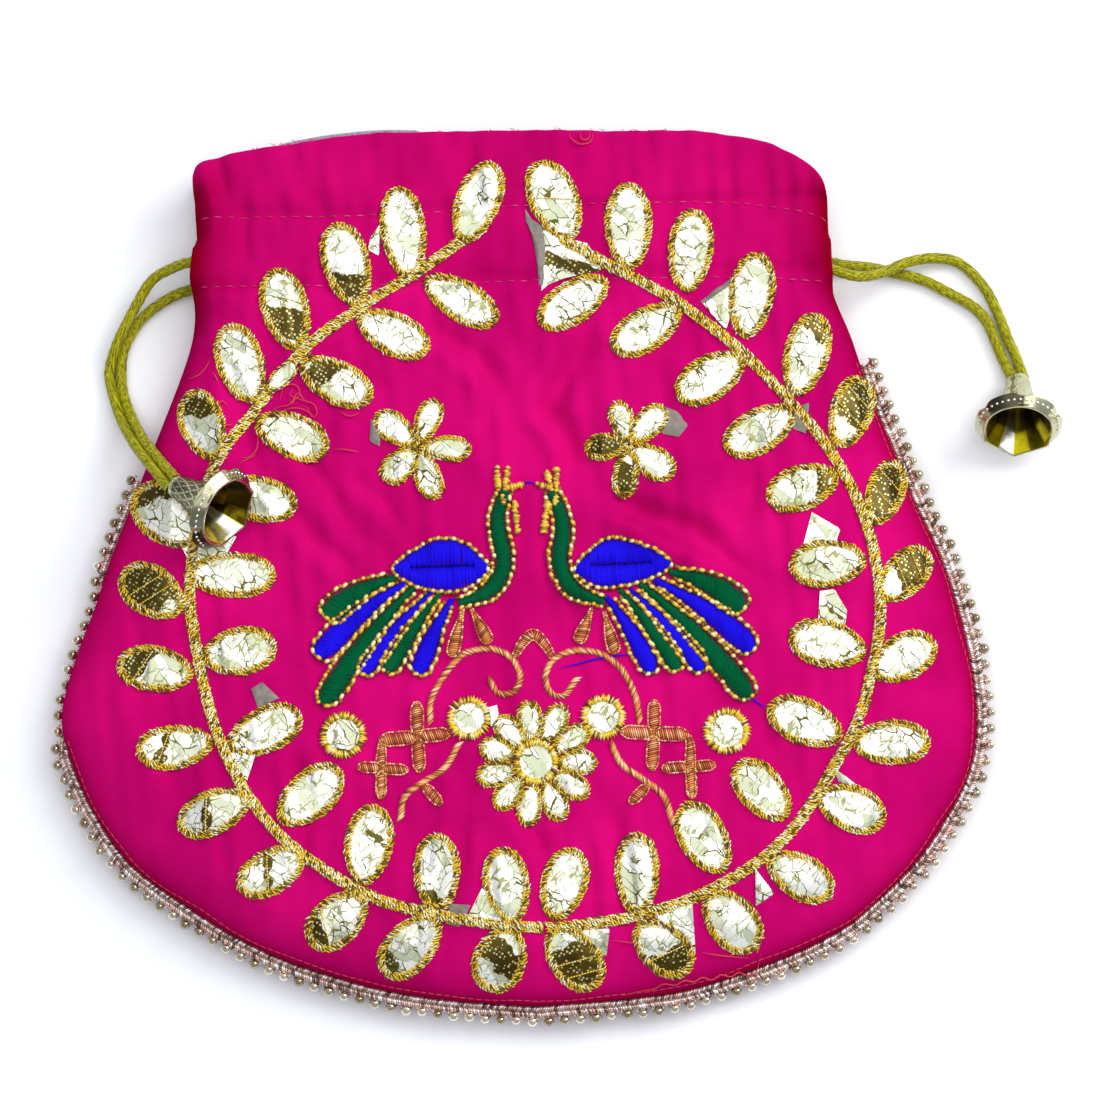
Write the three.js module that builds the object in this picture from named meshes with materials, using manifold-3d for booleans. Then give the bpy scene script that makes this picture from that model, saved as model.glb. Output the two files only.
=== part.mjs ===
// A potli bag: a drawstring pouch of magenta satin, lying on its back with its mouth toward +Y.
// Gold leaf vines frame two peacocks on the front, a beaded edging follows the seam, and each of
// two cords runs once round the casing and ends in a flower bell. Millimetres, +X right, +Z up.
import * as THREE from 'three';
import Module from 'manifold-3d';
import { mergeVertices } from 'three/addons/utils/BufferGeometryUtils.js';

const wasm = await Module();
wasm.setup();

// Cloth
const gap = 0.3; // clearance between neighbouring pieces
const clothT = 0.9; // satin with its backing
const facingT = 0.8; // hem turned in behind the casing
const liningT = 0.5;
const liningGap = 1; // the lining hangs loose inside the cloth
const seamZ = 5; // height of the side seam above the table

// Mouth and casing
const mouthY = 108.3; // top edge at the middle
const cornerDrop = 6; // the edge falls away to its corners
const upperRowY = 86.3; // the two stitch rows that bound the casing
const lowerRowY = 68.8;
const rowDip = 1.2; // a stitch row pulls the cloth in this deep
const rowReach = 2.4; // half the width of that groove
const mouthGap = 5.6; // opening between the front and the back casing
const tunnelSlack = 0.8; // room for a cord in the casing
const tunnelInset = 0.8; // the tunnel stops short of its stitch rows
const tunnelTaper = 2; // and closes over this length
const pocketWall = 3; // cloth left outside the room where a cord turns
const pocketLead = 1; // that room starts this far before the turn

// Belly
const bodyRise = 1.2; // the belly stands this far above the casing
const riseStartY = 60;
const riseEndY = 20;
const casingRoll = 5.5; // rounding of the side folds at the casing
const frontRoll = 34; // rounding of the front toward the seam
const backRoll = 16; // the back lies flat, with a tighter edge
const rollEndY = 25; // where the belly's rounding is reached
const bottomChord = 0.5; // height of the straight stitch at the very bottom

// Cords and bells
const cordD = 2.4;
const cordSides = 8;
const cordTurn = [30, 60, 90, 120, 150]; // where a cord has rings on its turn in the far fold
const bellLength = 16;
const bellWall = 0.8;
const bellSides = 12;
const bellLobe = 0.09; // the six petals' share of the radius
const bellLobeStart = 6;
const bellProfile = [[2.7, 0], [3.2, 4], [4.4, 8], [6.6, 12], [9.4, bellLength]];
const bellFloor = 4.2; // depth of the solid crown that grips the cord
const cordStandoff = 0.9; // cord end to the bell's crown
const cordEndGap = 0.45; // between the two ends in one bell
const leftBell = { plan: [-70.9, 13.1], heading: [0.846, -0.533], tilt: 27 };
const rightBell = { plan: [118.7, 28.6], heading: [-0.11, -0.994], tilt: 31 };

// Edging
const edgingGap = 0.4;
const braidW = 2;
const braidT = 1.2;
const braidSteps = 46;
const beadD = 2.2;
const beadThreadD = 0.8;
const beadPitch = 3.75;
const beadSides = 4;
const edgingTopRight = 47; // the edging starts below the casing
const edgingTopLeft = 22; // on the left the upper seam curls under without it

// Embroidery
const padGap = 0.35; // appliqué to cloth
const padRise = 0.85; // gold outline above the cloth
const padCrest = 0.84; // where the outline's crest runs, of the patch's half width
const padDish = 0.5; // the foil in the middle lies lower than the outline
const stitchRise = 0.6; // satin stitch above the cloth
const vineW = 2.5;
const vineSteps = 18;
const ribbonCrown = 0.6; // a stitched line's top is this much narrower than its foot
const leafW = 11;
const leafTaper = 0.5; // a leaf is this much narrower at its root
const leafSides = 8;
const petalSides = 6;
const discSides = 10;

const casingT = clothT + cordD + tunnelSlack + facingT;
const hemT = clothT + facingT;
const casingTop = 2 * casingT + mouthGap;
const tunnelH = cordD + tunnelSlack;
const edgingReach = edgingGap + braidW + gap + beadD;
const cornerY = mouthY - cornerDrop;
const bottomY = edgingReach - mouthY;
const frontSeamZ = seamZ + gap / 2;
const backSeamZ = seamZ - gap / 2;

// Right half of the sewn outline, from the mouth's corner to the bottom.
const sidePoints = [
  [73.5, cornerY], [77, 92], [77.3, 78], [77.6, 66], [80.6, 53.3], [87.5, 33.6], [94.8, 14],
  [102, -6], [108, -28], [108.2, -38], [104, -52.5], [92.8, -69.8], [73, -85], [44, -97], [18, -102.4],
];

// Front leaf vine, right side: its stem from the mouth down, then root and tip of each leaf.
const vinePoints = [
  [11.8, 80.2], [26, 70.3], [40, 62], [53.5, 50.2], [65, 36.8], [75, 22], [80.6, 4], [81.6, -14],
  [77.5, -34.5], [68, -54], [53.5, -70.4], [36, -80.3], [18, -84.8], [0.4, -86.4],
];
const outerLeaves = [
  [13.2, 78.2, 5.3, 98.3], [26.4, 69.9, 27.9, 92.4], [39.4, 64.2, 43.4, 84.6], [53.8, 53, 58.3, 73.6],
  [64.8, 39.6, 70.4, 59], [74.2, 26.3, 80.2, 42.6], [81, 6.9, 90, 20.8], [83, -10.5, 95.4, 0.3],
  [80.5, -27, 97.2, -21.3], [75.6, -43, 93.9, -44.1], [67.1, -55.7, 83.4, -62.6], [54.6, -69.8, 69.4, -78],
  [40.4, -79, 52, -91], [23.3, -85.3, 35.6, -96.4], [4.3, -87, 12.6, -99.6],
];
const innerLeaves = [
  [21.9, 69.2, 5.1, 58.1], [38.7, 61, 21.9, 51.3], [53.1, 49.3, 36.5, 39.6], [64.5, 35.7, 47.4, 27.2],
  [74.2, 19.4, 56.1, 14.3], [80.8, -1.2, 61.1, -2.1], [78.8, -22.1, 60.8, -18.6], [72.7, -43.2, 55.3, -35.2],
  [59.8, -61.4, 47, -48.4], [42.6, -75.4, 36.5, -57.5], [23.5, -83.4, 23.6, -64.4], [4.7, -85.5, 8.8, -67.9],
];

// Motifs on the right half; the left half mirrors them.
const starFlower = { at: [25.2, 28], petals: 5, turn: 33, root: -0.8, reach: 12.6, petalW: 7.4 };
const daisy = { at: [0, -47.75], petals: 11, turn: 90, root: 6, reach: 13.6, petalW: 5.2, centreR: 5.2 };
const innerDisc = { at: [15.9, -37.2], r: 5 };
const outerDisc = { at: [45.4, -40.8], r: 5.5 };
const peacockBody = [
  [10.5, -0.7], [11.9, -4.1], [17.9, -6.8], [28, -5], [33.1, -1], [28.5, 2.9], [21.5, 5.8], [16.1, 4.8],
];
const peacockNeck = [
  [5.8, 16.2], [7.5, 11.3], [7.6, 6.5], [6.6, 1.7], [7.4, -3.1], [10.7, -7.2], [16.6, -9.6],
];
const neckW = 3.6;
const neckSteps = 9;
const feathers = [
  { root: [33.4, -3.6], tip: [49.7, -12.2], width: 4.6, bow: 1.4 },
  { root: [30.4, -5.8], tip: [51.6, -22], width: 4.4, bow: 1.4 },
  { root: [27.4, -6.6], tip: [50.6, -33.2], width: 4.2, bow: 1.2 },
  { root: [24.2, -8], tip: [40.3, -26.4], width: 3.3, bow: 0.8 },
  { root: [21.9, -8.2], tip: [34.6, -26.1], width: 3.3, bow: 0.6 },
  { root: [19.2, -9.8], tip: [27.9, -26.6], width: 3.8, bow: 0.6 },
];
const featherTaper = 0.25;
const legs = [[[14.3, -11.4], [10.6, -19.3]], [[17.3, -12.4], [19.4, -22.2]]];
const legW = 3.2;
const legTaper = 0.4;
const scrollPoints = [
  [25, -40.6], [24.2, -32.4], [21.1, -26.4], [16.3, -22], [10, -20.9], [5, -23.1], [3, -27.3],
  [4.2, -30.8], [7.5, -31.5], [10.4, -28.2],
];
const archPoints = [[-4.9, -23.2], [0, -17.4], [4.9, -23.2]];
const sprigLeaves = [
  [21.3, -41, 36.6, -41.8], [28, -33, 27.4, -50], [29.8, -49.3, 42.4, -48.6], [26.1, -52.2, 22.3, -57.7],
];
const sprigStems = [
  [[35.8, -42], [36.6, -46], [36.4, -50], [36.7, -56]],
  [[22.2, -41.2], [20.9, -46], [22.2, -49.6], [25.7, -52], [30.4, -55.8], [32.1, -61.6]],
];
const scrollW = 1.4;
const scrollSteps = 12;
const stemSteps = 5;
const archW = 2.4;
const archSteps = 6;
const sprigW = 3.2;
const sprigTaper = 0.9;

// Cord routes: the stretch that lies free on each side of the bag, from the casing to the bell.
const frontRunZ = casingTop - clothT - tunnelH / 2;
const backRunZ = clothT + tunnelH / 2;
const turnX = 66; // a cord turns from the front casing to the back one here
const exitX = 76;
const leftCord = {
  frontY: 77,
  backY: 72.6,
  frontTail: [
    [-79.8, 76.7, 11.8], [-84.6, 75.7, 8.6], [-89.2, 73.4, 6], [-93.6, 66.7, 4.5], [-97.6, 59.2, 4],
    [-100.2, 53, 1.7], [-100, 48.2, 1.4], [-97.8, 40.5, 3.4], [-94.3, 33.3, 7.9], [-90, 27, 13.6],
  ],
  backTail: [
    [-81, 71.7, 2.4], [-86.2, 69.3, 1.6], [-91.4, 65.6, 1.35], [-95, 60.8, 1.35], [-96.9, 56.2, 1.35],
    [-97.3, 51.6, 1.35], [-97, 47, 1.4], [-95.2, 41.5, 3.4], [-91.9, 34.6, 7.9], [-87.7, 28.5, 13.6],
  ],
};
const rightCord = {
  frontY: 72.6,
  backY: 76.2,
  frontTail: [
    [80, 71.4, 12], [83.2, 68.9, 9.6], [88.6, 69.4, 6.7], [95, 72, 4.6], [101.6, 73.1, 2.6],
    [107.6, 71.8, 1.4], [113.2, 65.8, 1.35], [116.6, 58.2, 1.35], [118.4, 52.6, 1.35], [120, 48.6, 1.5],
  ],
  backTail: [
    [80.4, 74.6, 2.4], [86, 72.4, 1.8], [91.7, 70.4, 1.35], [98.4, 68, 1.35], [104.9, 64.4, 1.35],
    [110.4, 60.9, 1.35], [113.6, 57, 1.35], [115.5, 51.8, 1.35], [117, 47.6, 1.5],
  ],
};

const finish = {
  satin: { color: 0xd6006f, roughness: 0.5, metalness: 0 },
  lining: { color: 0xb7aebb, roughness: 0.8, metalness: 0 },
  cord: { color: 0xa8a51e, roughness: 0.5, metalness: 0 },
  bell: { color: 0xd9b65a, roughness: 0.25, metalness: 0.9 },
  zari: { color: 0xd0a126, roughness: 0.45, metalness: 0.5 },
  foil: { color: 0xe8dfae, roughness: 0.2, metalness: 0.8 },
  copper: { color: 0xc98a3c, roughness: 0.6, metalness: 0.2 },
  blue: { color: 0x2514f0, roughness: 0.55, metalness: 0 },
  green: { color: 0x00603a, roughness: 0.55, metalness: 0 },
  braid: { color: 0xc9a08e, roughness: 0.4, metalness: 0.5 },
  bead: { color: 0x9a907a, roughness: 0.2, metalness: 0.8 },
};

const outlineSamples = 300;
const lerp = THREE.MathUtils.lerp;
const clamp = THREE.MathUtils.clamp;
const rad = THREE.MathUtils.degToRad;

// Moves every vertex of a geometry, then welds it into one closed body.
function reshape(source, move) {
  source.deleteAttribute('normal');
  source.deleteAttribute('uv');
  const position = source.getAttribute('position');
  const p = new THREE.Vector3();
  for (let i = 0; i < position.count; i += 1) {
    p.fromBufferAttribute(position, i);
    position.setXYZ(i, ...move(p));
  }
  const welded = mergeVertices(source);
  const index = welded.getIndex().array;
  const kept = [];
  for (let i = 0; i < index.length; i += 3) {
    const [a, b, c] = index.slice(i, i + 3);
    if (a !== b && b !== c && c !== a) kept.push(a, b, c);
  }
  welded.setIndex(kept);
  return welded;
}

function toSolid(geometry) {
  const vertProperties = new Float32Array(geometry.getAttribute('position').array);
  const triVerts = new Uint32Array(geometry.getIndex().array);
  return new wasm.Manifold(new wasm.Mesh({ numProp: 3, vertProperties, triVerts }));
}

function toGeometry(solid) {
  const mesh = solid.getMesh();
  const geometry = new THREE.BufferGeometry();
  geometry.setAttribute('position', new THREE.BufferAttribute(new Float32Array(mesh.vertProperties), 3));
  geometry.setIndex(new THREE.BufferAttribute(new Uint32Array(mesh.triVerts), 1));
  return geometry;
}

function join(pieces) {
  return toGeometry(pieces.map(toSolid).reduce((all, piece) => all.add(piece)));
}

function cut(piece, tools) {
  return toGeometry(tools.map(toSolid).reduce((all, tool) => all.subtract(tool), toSolid(piece)));
}

// The outline as a smooth curve from the right corner of the mouth round to the left one.
function makeOutline() {
  const right = sidePoints.map(([x, y]) => new THREE.Vector2(x, y));
  const left = sidePoints.map(([x, y]) => new THREE.Vector2(-x, y)).reverse();
  const curve = new THREE.SplineCurve([...right, new THREE.Vector2(0, bottomY), ...left]);
  curve.arcLengthDivisions = 2 * outlineSamples;
  return curve;
}

const outline = makeOutline();

// Right half of the outline, moved inward by an inset.
function insetLine(inset) {
  const line = [];
  for (let i = 0; i <= outlineSamples / 2; i += 1) {
    const t = i / outlineSamples;
    const p = outline.getPointAt(t);
    const tangent = outline.getTangentAt(t);
    line.push(new THREE.Vector2(p.x + tangent.y * inset, p.y - tangent.x * inset));
  }
  line.bottom = bottomY + inset;
  return line;
}

function halfWidth(line, y) {
  const after = line.findIndex((p) => p.y <= y);
  if (after === 0) return line[0].x;
  if (after < 0) return line.at(-1).x;
  const p = line[after - 1];
  const q = line[after];
  return lerp(p.x, q.x, (p.y - y) / (p.y - q.y));
}

function edgeDistance(line, x, y) {
  let best = Infinity;
  for (let i = 1; i < line.length; i += 1) {
    const p = line[i - 1];
    const dx = line[i].x - p.x;
    const dy = line[i].y - p.y;
    const along = ((Math.abs(x) - p.x) * dx + (y - p.y) * dy) / (dx * dx + dy * dy);
    const t = clamp(along, 0, 1);
    best = Math.min(best, Math.hypot(Math.abs(x) - p.x - t * dx, y - p.y - t * dy));
  }
  return best;
}

// Height share of a cloth edge that rolls over from the seam to the flat within a radius.
function roll(distance, radius) {
  const t = clamp(distance / radius, 0, 1);
  return Math.sqrt(1 - (1 - t) ** 2);
}

function rollRadius(y, belly) {
  return lerp(casingRoll, belly, clamp((lowerRowY - y) / (lowerRowY - rollEndY), 0, 1));
}

function coverTop(y) {
  return casingTop + bodyRise * clamp((riseStartY - y) / (riseStartY - riseEndY), 0, 1);
}

// Depth of the groove at the two stitch rows.
function groove(y) {
  const off = Math.min(Math.abs(y - upperRowY), Math.abs(y - lowerRowY));
  return rowDip * clamp(1 - off / rowReach, 0, 1);
}

// Layers of cloth from the mouth down: a doubled hem, the casing with its tunnel, a single layer.
function layers(y) {
  if (y >= upperRowY) return hemT;
  if (y <= lowerRowY) return lerp(clothT, hemT, clamp(1 - (lowerRowY - y) / rowReach, 0, 1));
  const off = Math.min(upperRowY - y, y - lowerRowY);
  return lerp(hemT, casingT, clamp(off / rowReach, 0, 1));
}

const clothLine = insetLine(0);
const insideLine = insetLine(clothT);

function coverZ(x, y) {
  const share = roll(edgeDistance(clothLine, x, y), rollRadius(y, frontRoll));
  return frontSeamZ + (coverTop(y) - frontSeamZ) * share;
}

// Where the grid line u across and v along meets a panel: v runs 0 to 1 over the header,
// to 2 over the casing and to 3 over the belly.
function spot(line, u, v) {
  const edge = Math.abs(u) === 1 || v === 3;
  if (v < 1) {
    const x = u * halfWidth(line, lerp(cornerY, upperRowY, v));
    const y = lerp(mouthY - cornerDrop * Math.abs(u) ** 3, upperRowY, v);
    return { x, y, edge };
  }
  const y = v < 2 ? lerp(upperRowY, lowerRowY, v - 1) : lerp(lowerRowY, line.bottom + bottomChord, v - 2);
  return { x: u * halfWidth(line, y), y, edge };
}

// A closed sheet over a grid, between an upper and a lower surface.
function sheet(across, along, upper, lower) {
  const columns = across.length - 1;
  const rows = along.length - 1;
  return reshape(new THREE.BoxGeometry(1, 1, 1, columns, rows, 1), (p) => {
    const u = across[Math.round((p.x + 0.5) * columns)];
    const v = along[Math.round((0.5 - p.y) * rows)];
    return p.z > 0 ? upper(u, v) : lower(u, v);
  });
}

// A surface that rolls from the seam to a plateau whose height depends on y.
function dome(line, seam, plateau, radius) {
  return (u, v) => {
    const { x, y, edge } = spot(line, u, v);
    const share = edge ? 0 : roll(edgeDistance(line, x, y), radius(y));
    return [x, y, seam + (plateau(y) - seam) * share];
  };
}

const half = [0.3, 0.58, 0.78, 0.9, 0.97, 1];
const panelAcross = [...half.map((u) => -u).reverse(), 0, ...half];
const rowShare = rowReach / (upperRowY - lowerRowY);
const panelAlong = [
  0, 1, 1 + rowShare, 2 - rowShare, 2, 2.016, 2.12, 2.22, 2.33, 2.45, 2.57, 2.68, 2.79, 2.88, 2.96, 3,
];
const liningAcross = [-1, -0.93, -0.75, 0, 0.75, 0.93, 1];
const liningAlong = [2.1, 2.35, 2.65, 2.86, 2.96, 3];

// The tunnel that the cords run in, cut through a panel's casing from side to side.
function tunnel(runZ, tipZ) {
  const middle = (upperRowY + lowerRowY) / 2;
  const end = (upperRowY - lowerRowY) / 2 - tunnelInset;
  const flat = end - tunnelTaper;
  const profile = new THREE.Shape([
    new THREE.Vector2(middle - end, tipZ),
    new THREE.Vector2(middle - flat, runZ - tunnelH / 2),
    new THREE.Vector2(middle + flat, runZ - tunnelH / 2),
    new THREE.Vector2(middle + end, tipZ),
    new THREE.Vector2(middle + flat, runZ + tunnelH / 2),
    new THREE.Vector2(middle - flat, runZ + tunnelH / 2),
  ]);
  const length = 4 * sidePoints[0][0]; // well past both sides
  const bar = new THREE.ExtrudeGeometry(profile, { depth: length, bevelEnabled: false });
  return reshape(bar, (p) => [p.z - length / 2, p.x, p.y]);
}

// Room inside each side fold, where a cord turns from one casing to the other.
function turnPocket(side) {
  const start = turnX - pocketLead;
  const wide = sidePoints[2][0] - pocketWall - start;
  const tall = upperRowY - lowerRowY - 2 * (tunnelInset + tunnelTaper);
  const low = backRunZ - gap;
  const high = frontRunZ + gap / 2;
  const pocket = new THREE.BoxGeometry(wide, tall, high - low);
  const x = side * (start + wide / 2);
  const y = (upperRowY + lowerRowY) / 2;
  return reshape(pocket, (p) => [p.x + x, p.y + y, p.z + (high + low) / 2]);
}

function makeFrontPanel() {
  const radius = (y) => rollRadius(y, frontRoll);
  const outer = dome(clothLine, frontSeamZ, (y) => coverTop(y) - groove(y), radius);
  const inner = dome(
    insideLine,
    frontSeamZ,
    (y) => coverTop(y) - groove(y) - layers(y),
    (y) => radius(y) - clothT,
  );
  const panel = sheet(panelAcross, panelAlong, outer, inner);
  return cut(panel, [tunnel(frontRunZ, frontRunZ), turnPocket(1), turnPocket(-1)]);
}

function makeBackPanel() {
  const radius = (y) => rollRadius(y, backRoll);
  const outer = dome(clothLine, backSeamZ, () => 0, radius);
  const inner = dome(insideLine, backSeamZ, layers, (y) => radius(y) - clothT);
  const panel = sheet(panelAcross, panelAlong, inner, outer);
  return cut(panel, [tunnel(backRunZ, hemT - gap), turnPocket(1), turnPocket(-1)]);
}

function makeLining(seam, plateau, belly, flip) {
  const outerInset = clothT + liningGap;
  const radius = (y) => rollRadius(y, belly);
  const outer = dome(insetLine(outerInset), seam, plateau, (y) => radius(y) - outerInset);
  const innerPlateau = (y) => plateau(y) - flip * liningT;
  const innerInset = outerInset + liningT;
  const inner = dome(insetLine(innerInset), seam, innerPlateau, (y) => radius(y) - innerInset);
  return flip > 0
    ? sheet(liningAcross, liningAlong, outer, inner)
    : sheet(liningAcross, liningAlong, inner, outer);
}

// A raised patch on the front: a raised outline round a dished middle. Points run counter-clockwise.
function patch(points, rise, dish = padDish) {
  const count = points.length;
  const centre = points.reduce(([x, y], p) => [x + p[0] / count, y + p[1] / count], [0, 0]);
  const profile = [[0, 0], [1, 0], [padCrest, 1], [0, dish]].map(([x, y]) => new THREE.Vector2(x, y));
  return reshape(new THREE.LatheGeometry(profile, count), (p) => {
    const step = Math.round((Math.atan2(p.x, p.z) / (2 * Math.PI)) * count + count) % count;
    const reach = Math.hypot(p.x, p.z);
    const x = lerp(centre[0], points[step][0], reach);
    const y = lerp(centre[1], points[step][1], reach);
    return [x, y, coverZ(x, y) + padGap + p.y * rise];
  });
}

// Outline of a leaf from its root to its rounded tip, bowed to its left.
function leafOutline([rootX, rootY, tipX, tipY], width, taper, sides, bow = 0) {
  const length = Math.hypot(tipX - rootX, tipY - rootY);
  const ux = (tipX - rootX) / length;
  const uy = (tipY - rootY) / length;
  const points = [];
  for (let i = 0; i < sides; i += 1) {
    const angle = (i / sides) * 2 * Math.PI;
    const t = (1 + Math.cos(angle)) / 2;
    const aside = (Math.sin(angle) * width * lerp(taper, 1, t)) / 2 + bow * 4 * t * (1 - t);
    points.push([rootX + ux * length * t - uy * aside, rootY + uy * length * t + ux * aside]);
  }
  return points;
}

function circlePoints([x, y], r, sides) {
  return Array.from({ length: sides }, (_, i) => {
    const angle = (i / sides) * 2 * Math.PI;
    return [x + r * Math.cos(angle), y + r * Math.sin(angle)];
  });
}

// Mirrors a list of points to the left half for side -1, and keeps it counter-clockwise.
function onSide(points, side) {
  return side > 0 ? points : points.map(([x, y]) => [-x, y]).reverse();
}

// A stitched line on the front that follows a curve, rounded off to a narrower top.
function ribbon(points, width, rise, steps) {
  const curve = new THREE.CatmullRomCurve3(points.map(([x, y]) => new THREE.Vector3(x, y, 0)));
  return reshape(new THREE.BoxGeometry(1, 1, 1, 1, steps, 1), (p) => {
    const t = p.y + 0.5;
    const at = curve.getPoint(t);
    const tangent = curve.getTangent(t);
    const aside = p.x * width * (p.z > 0 ? ribbonCrown : 1);
    const x = at.x + tangent.y * aside;
    const y = at.y - tangent.x * aside;
    return [x, y, coverZ(x, y) + padGap + (p.z > 0 ? rise : 0)];
  });
}

function nearestOn(curve, x, y) {
  const target = new THREE.Vector3(x, y, 0);
  const closer = (a, b) => (a.distanceTo(target) < b.distanceTo(target) ? a : b);
  return curve.getPoints(outlineSamples).reduce(closer);
}

// Half of the wreath: one stem with its outer and inner leaves rooted on it.
function makeLeafVine(side) {
  const stem = vinePoints.map(([x, y]) => [side * x, y]);
  const curve = new THREE.CatmullRomCurve3(stem.map(([x, y]) => new THREE.Vector3(x, y, 0)));
  const leaves = [...outerLeaves, ...innerLeaves].map(([rootX, rootY, tipX, tipY]) => {
    const root = nearestOn(curve, side * rootX, rootY);
    const line = [root.x, root.y, side * tipX, tipY];
    return patch(leafOutline(line, leafW, leafTaper, leafSides), padRise);
  });
  return join([ribbon(stem, vineW, padRise, vineSteps), ...leaves]);
}

// Petals that spread from a centre, joined into one flower.
function makePetals({ at, petals, turn, root, reach, petalW }, side, sides) {
  const [x, y] = [side * at[0], at[1]];
  return Array.from({ length: petals }, (_, i) => {
    const angle = rad(side > 0 ? turn : 180 - turn) + (i / petals) * 2 * Math.PI;
    const ux = Math.cos(angle);
    const uy = Math.sin(angle);
    const line = [x + ux * root, y + uy * root, x + ux * reach, y + uy * reach];
    return patch(leafOutline(line, petalW, leafTaper, sides), padRise);
  });
}

// The ring under the daisy's petals that their roots share.
function makeDaisyRing() {
  const inner = daisy.centreR + gap;
  const outer = daisy.root + daisy.petalW / 4;
  const corners = [[inner, 0], [outer, 0], [outer, 1], [inner, 1], [inner, 0]];
  const profile = corners.map(([x, y]) => new THREE.Vector2(x, y));
  return reshape(new THREE.LatheGeometry(profile, daisy.petals), (p) => {
    const x = daisy.at[0] + p.x;
    const y = daisy.at[1] - p.z;
    return [x, y, coverZ(x, y) + padGap + p.y * padRise * padDish];
  });
}

function makeFeather({ root, tip, width, bow }, side) {
  const points = leafOutline([...root, ...tip], width, featherTaper, leafSides, bow);
  return patch(onSide(points, side), stitchRise, 1);
}

function makeScrollwork() {
  const pieces = [ribbon(archPoints, archW, stitchRise, archSteps)];
  for (const side of [1, -1]) {
    const flip = (points) => points.map(([x, y]) => [side * x, y]);
    pieces.push(ribbon(flip(scrollPoints), scrollW, stitchRise, scrollSteps));
    for (const stem of sprigStems) pieces.push(ribbon(flip(stem), scrollW, stitchRise, stemSteps));
    for (const leaf of sprigLeaves) {
      const points = leafOutline(leaf, sprigW, sprigTaper, petalSides);
      pieces.push(patch(onSide(points, side), stitchRise, 1));
    }
  }
  return join(pieces);
}

// Outline position where the edging is at a given height on one side.
function outlineAt(y, side) {
  const steps = 2 * outlineSamples;
  for (let i = 0; i <= steps / 2; i += 1) {
    const t = side > 0 ? i / steps : 1 - i / steps;
    if (outline.getPointAt(t).y <= y) return t;
  }
  return 0.5;
}

const edgingStart = outlineAt(edgingTopRight, 1);
const edgingEnd = outlineAt(edgingTopLeft, -1);

// A point beside the seam, at a share of the edging's run and a distance out from the cloth.
function besideSeam(share, out) {
  const t = lerp(edgingStart, edgingEnd, share);
  const p = outline.getPointAt(t);
  const tangent = outline.getTangentAt(t);
  return [p.x - tangent.y * out, p.y + tangent.x * out];
}

function makeBraid() {
  return reshape(new THREE.BoxGeometry(1, 1, 1, 1, braidSteps, 1), (p) => {
    const [x, y] = besideSeam(0.5 - p.y, edgingGap + (p.x + 0.5) * braidW);
    return [x, y, seamZ + p.z * braidT];
  });
}

// One thread of faceted beads along the braid.
function makeBeads() {
  const run = outline.getLength() * (edgingEnd - edgingStart);
  const rings = 2 * Math.floor(run / beadPitch);
  const line = edgingGap + braidW + gap + beadD / 2;
  return reshape(new THREE.CylinderGeometry(1, 1, 1, beadSides, rings), (p) => {
    const share = 0.5 - p.y;
    const onBead = Math.round(share * rings) % 2 === 1;
    const r = (onBead ? beadD : beadThreadD) / 2;
    const [x, y] = besideSeam(share, line + p.x * r);
    return [x, y, seamZ + p.z * r];
  });
}

// A flower bell along +Y from its crown at the origin, open at the far end.
function makeBell() {
  const outer = bellProfile.map(([r, s]) => new THREE.Vector2(r, s));
  const inner = bellProfile.slice(2).map(([r, s]) => new THREE.Vector2(r - bellWall, s)).reverse();
  const floor = [new THREE.Vector2(bellProfile[1][0] - bellWall, bellFloor), new THREE.Vector2(0, bellFloor)];
  const profile = [new THREE.Vector2(0, 0), ...outer, ...inner, ...floor];
  return reshape(new THREE.LatheGeometry(profile, bellSides), (p) => {
    const flare = clamp((p.y - bellLobeStart) / (bellLength - bellLobeStart), 0, 1);
    const lobe = 1 + bellLobe * flare * Math.cos((bellSides / 2) * Math.atan2(p.x, p.z));
    return [p.x * lobe, p.y, p.z * lobe];
  });
}

function bellAxis({ heading, tilt }) {
  const flat = Math.cos(rad(tilt));
  return new THREE.Vector3(heading[0] * flat, heading[1] * flat, Math.sin(rad(tilt))).normalize();
}

// Turns a bell to its heading and lowers it until it rests on what lies under it.
function restBell(mesh, bell, floorZ) {
  const axis = bellAxis(bell);
  mesh.quaternion.setFromUnitVectors(new THREE.Vector3(0, 1, 0), axis);
  const mouth = new THREE.Vector3(bell.plan[0], bell.plan[1], 0);
  mesh.position.copy(mouth).addScaledVector(axis, -bellLength);
  mesh.updateMatrix();
  const position = mesh.geometry.getAttribute('position');
  const p = new THREE.Vector3();
  let lift = -Infinity;
  for (let i = 0; i < position.count; i += 1) {
    p.fromBufferAttribute(position, i).applyMatrix4(mesh.matrix);
    lift = Math.max(lift, floorZ(p.x, p.y) - p.z);
  }
  mesh.position.z += lift;
}

// The two places on a bell's crown where the ends of its cord stop, side by side.
function cordEnds(mesh, bell, outward) {
  const back = mesh.position.clone().addScaledVector(bellAxis(bell), -cordStandoff);
  const aside = new THREE.Vector3(-bell.heading[1], bell.heading[0], 0).multiplyScalar(outward);
  const spread = (cordD + cordEndGap) / 2;
  return [1, -1].map((s) => back.clone().addScaledVector(aside, s * spread).toArray());
}

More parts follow.
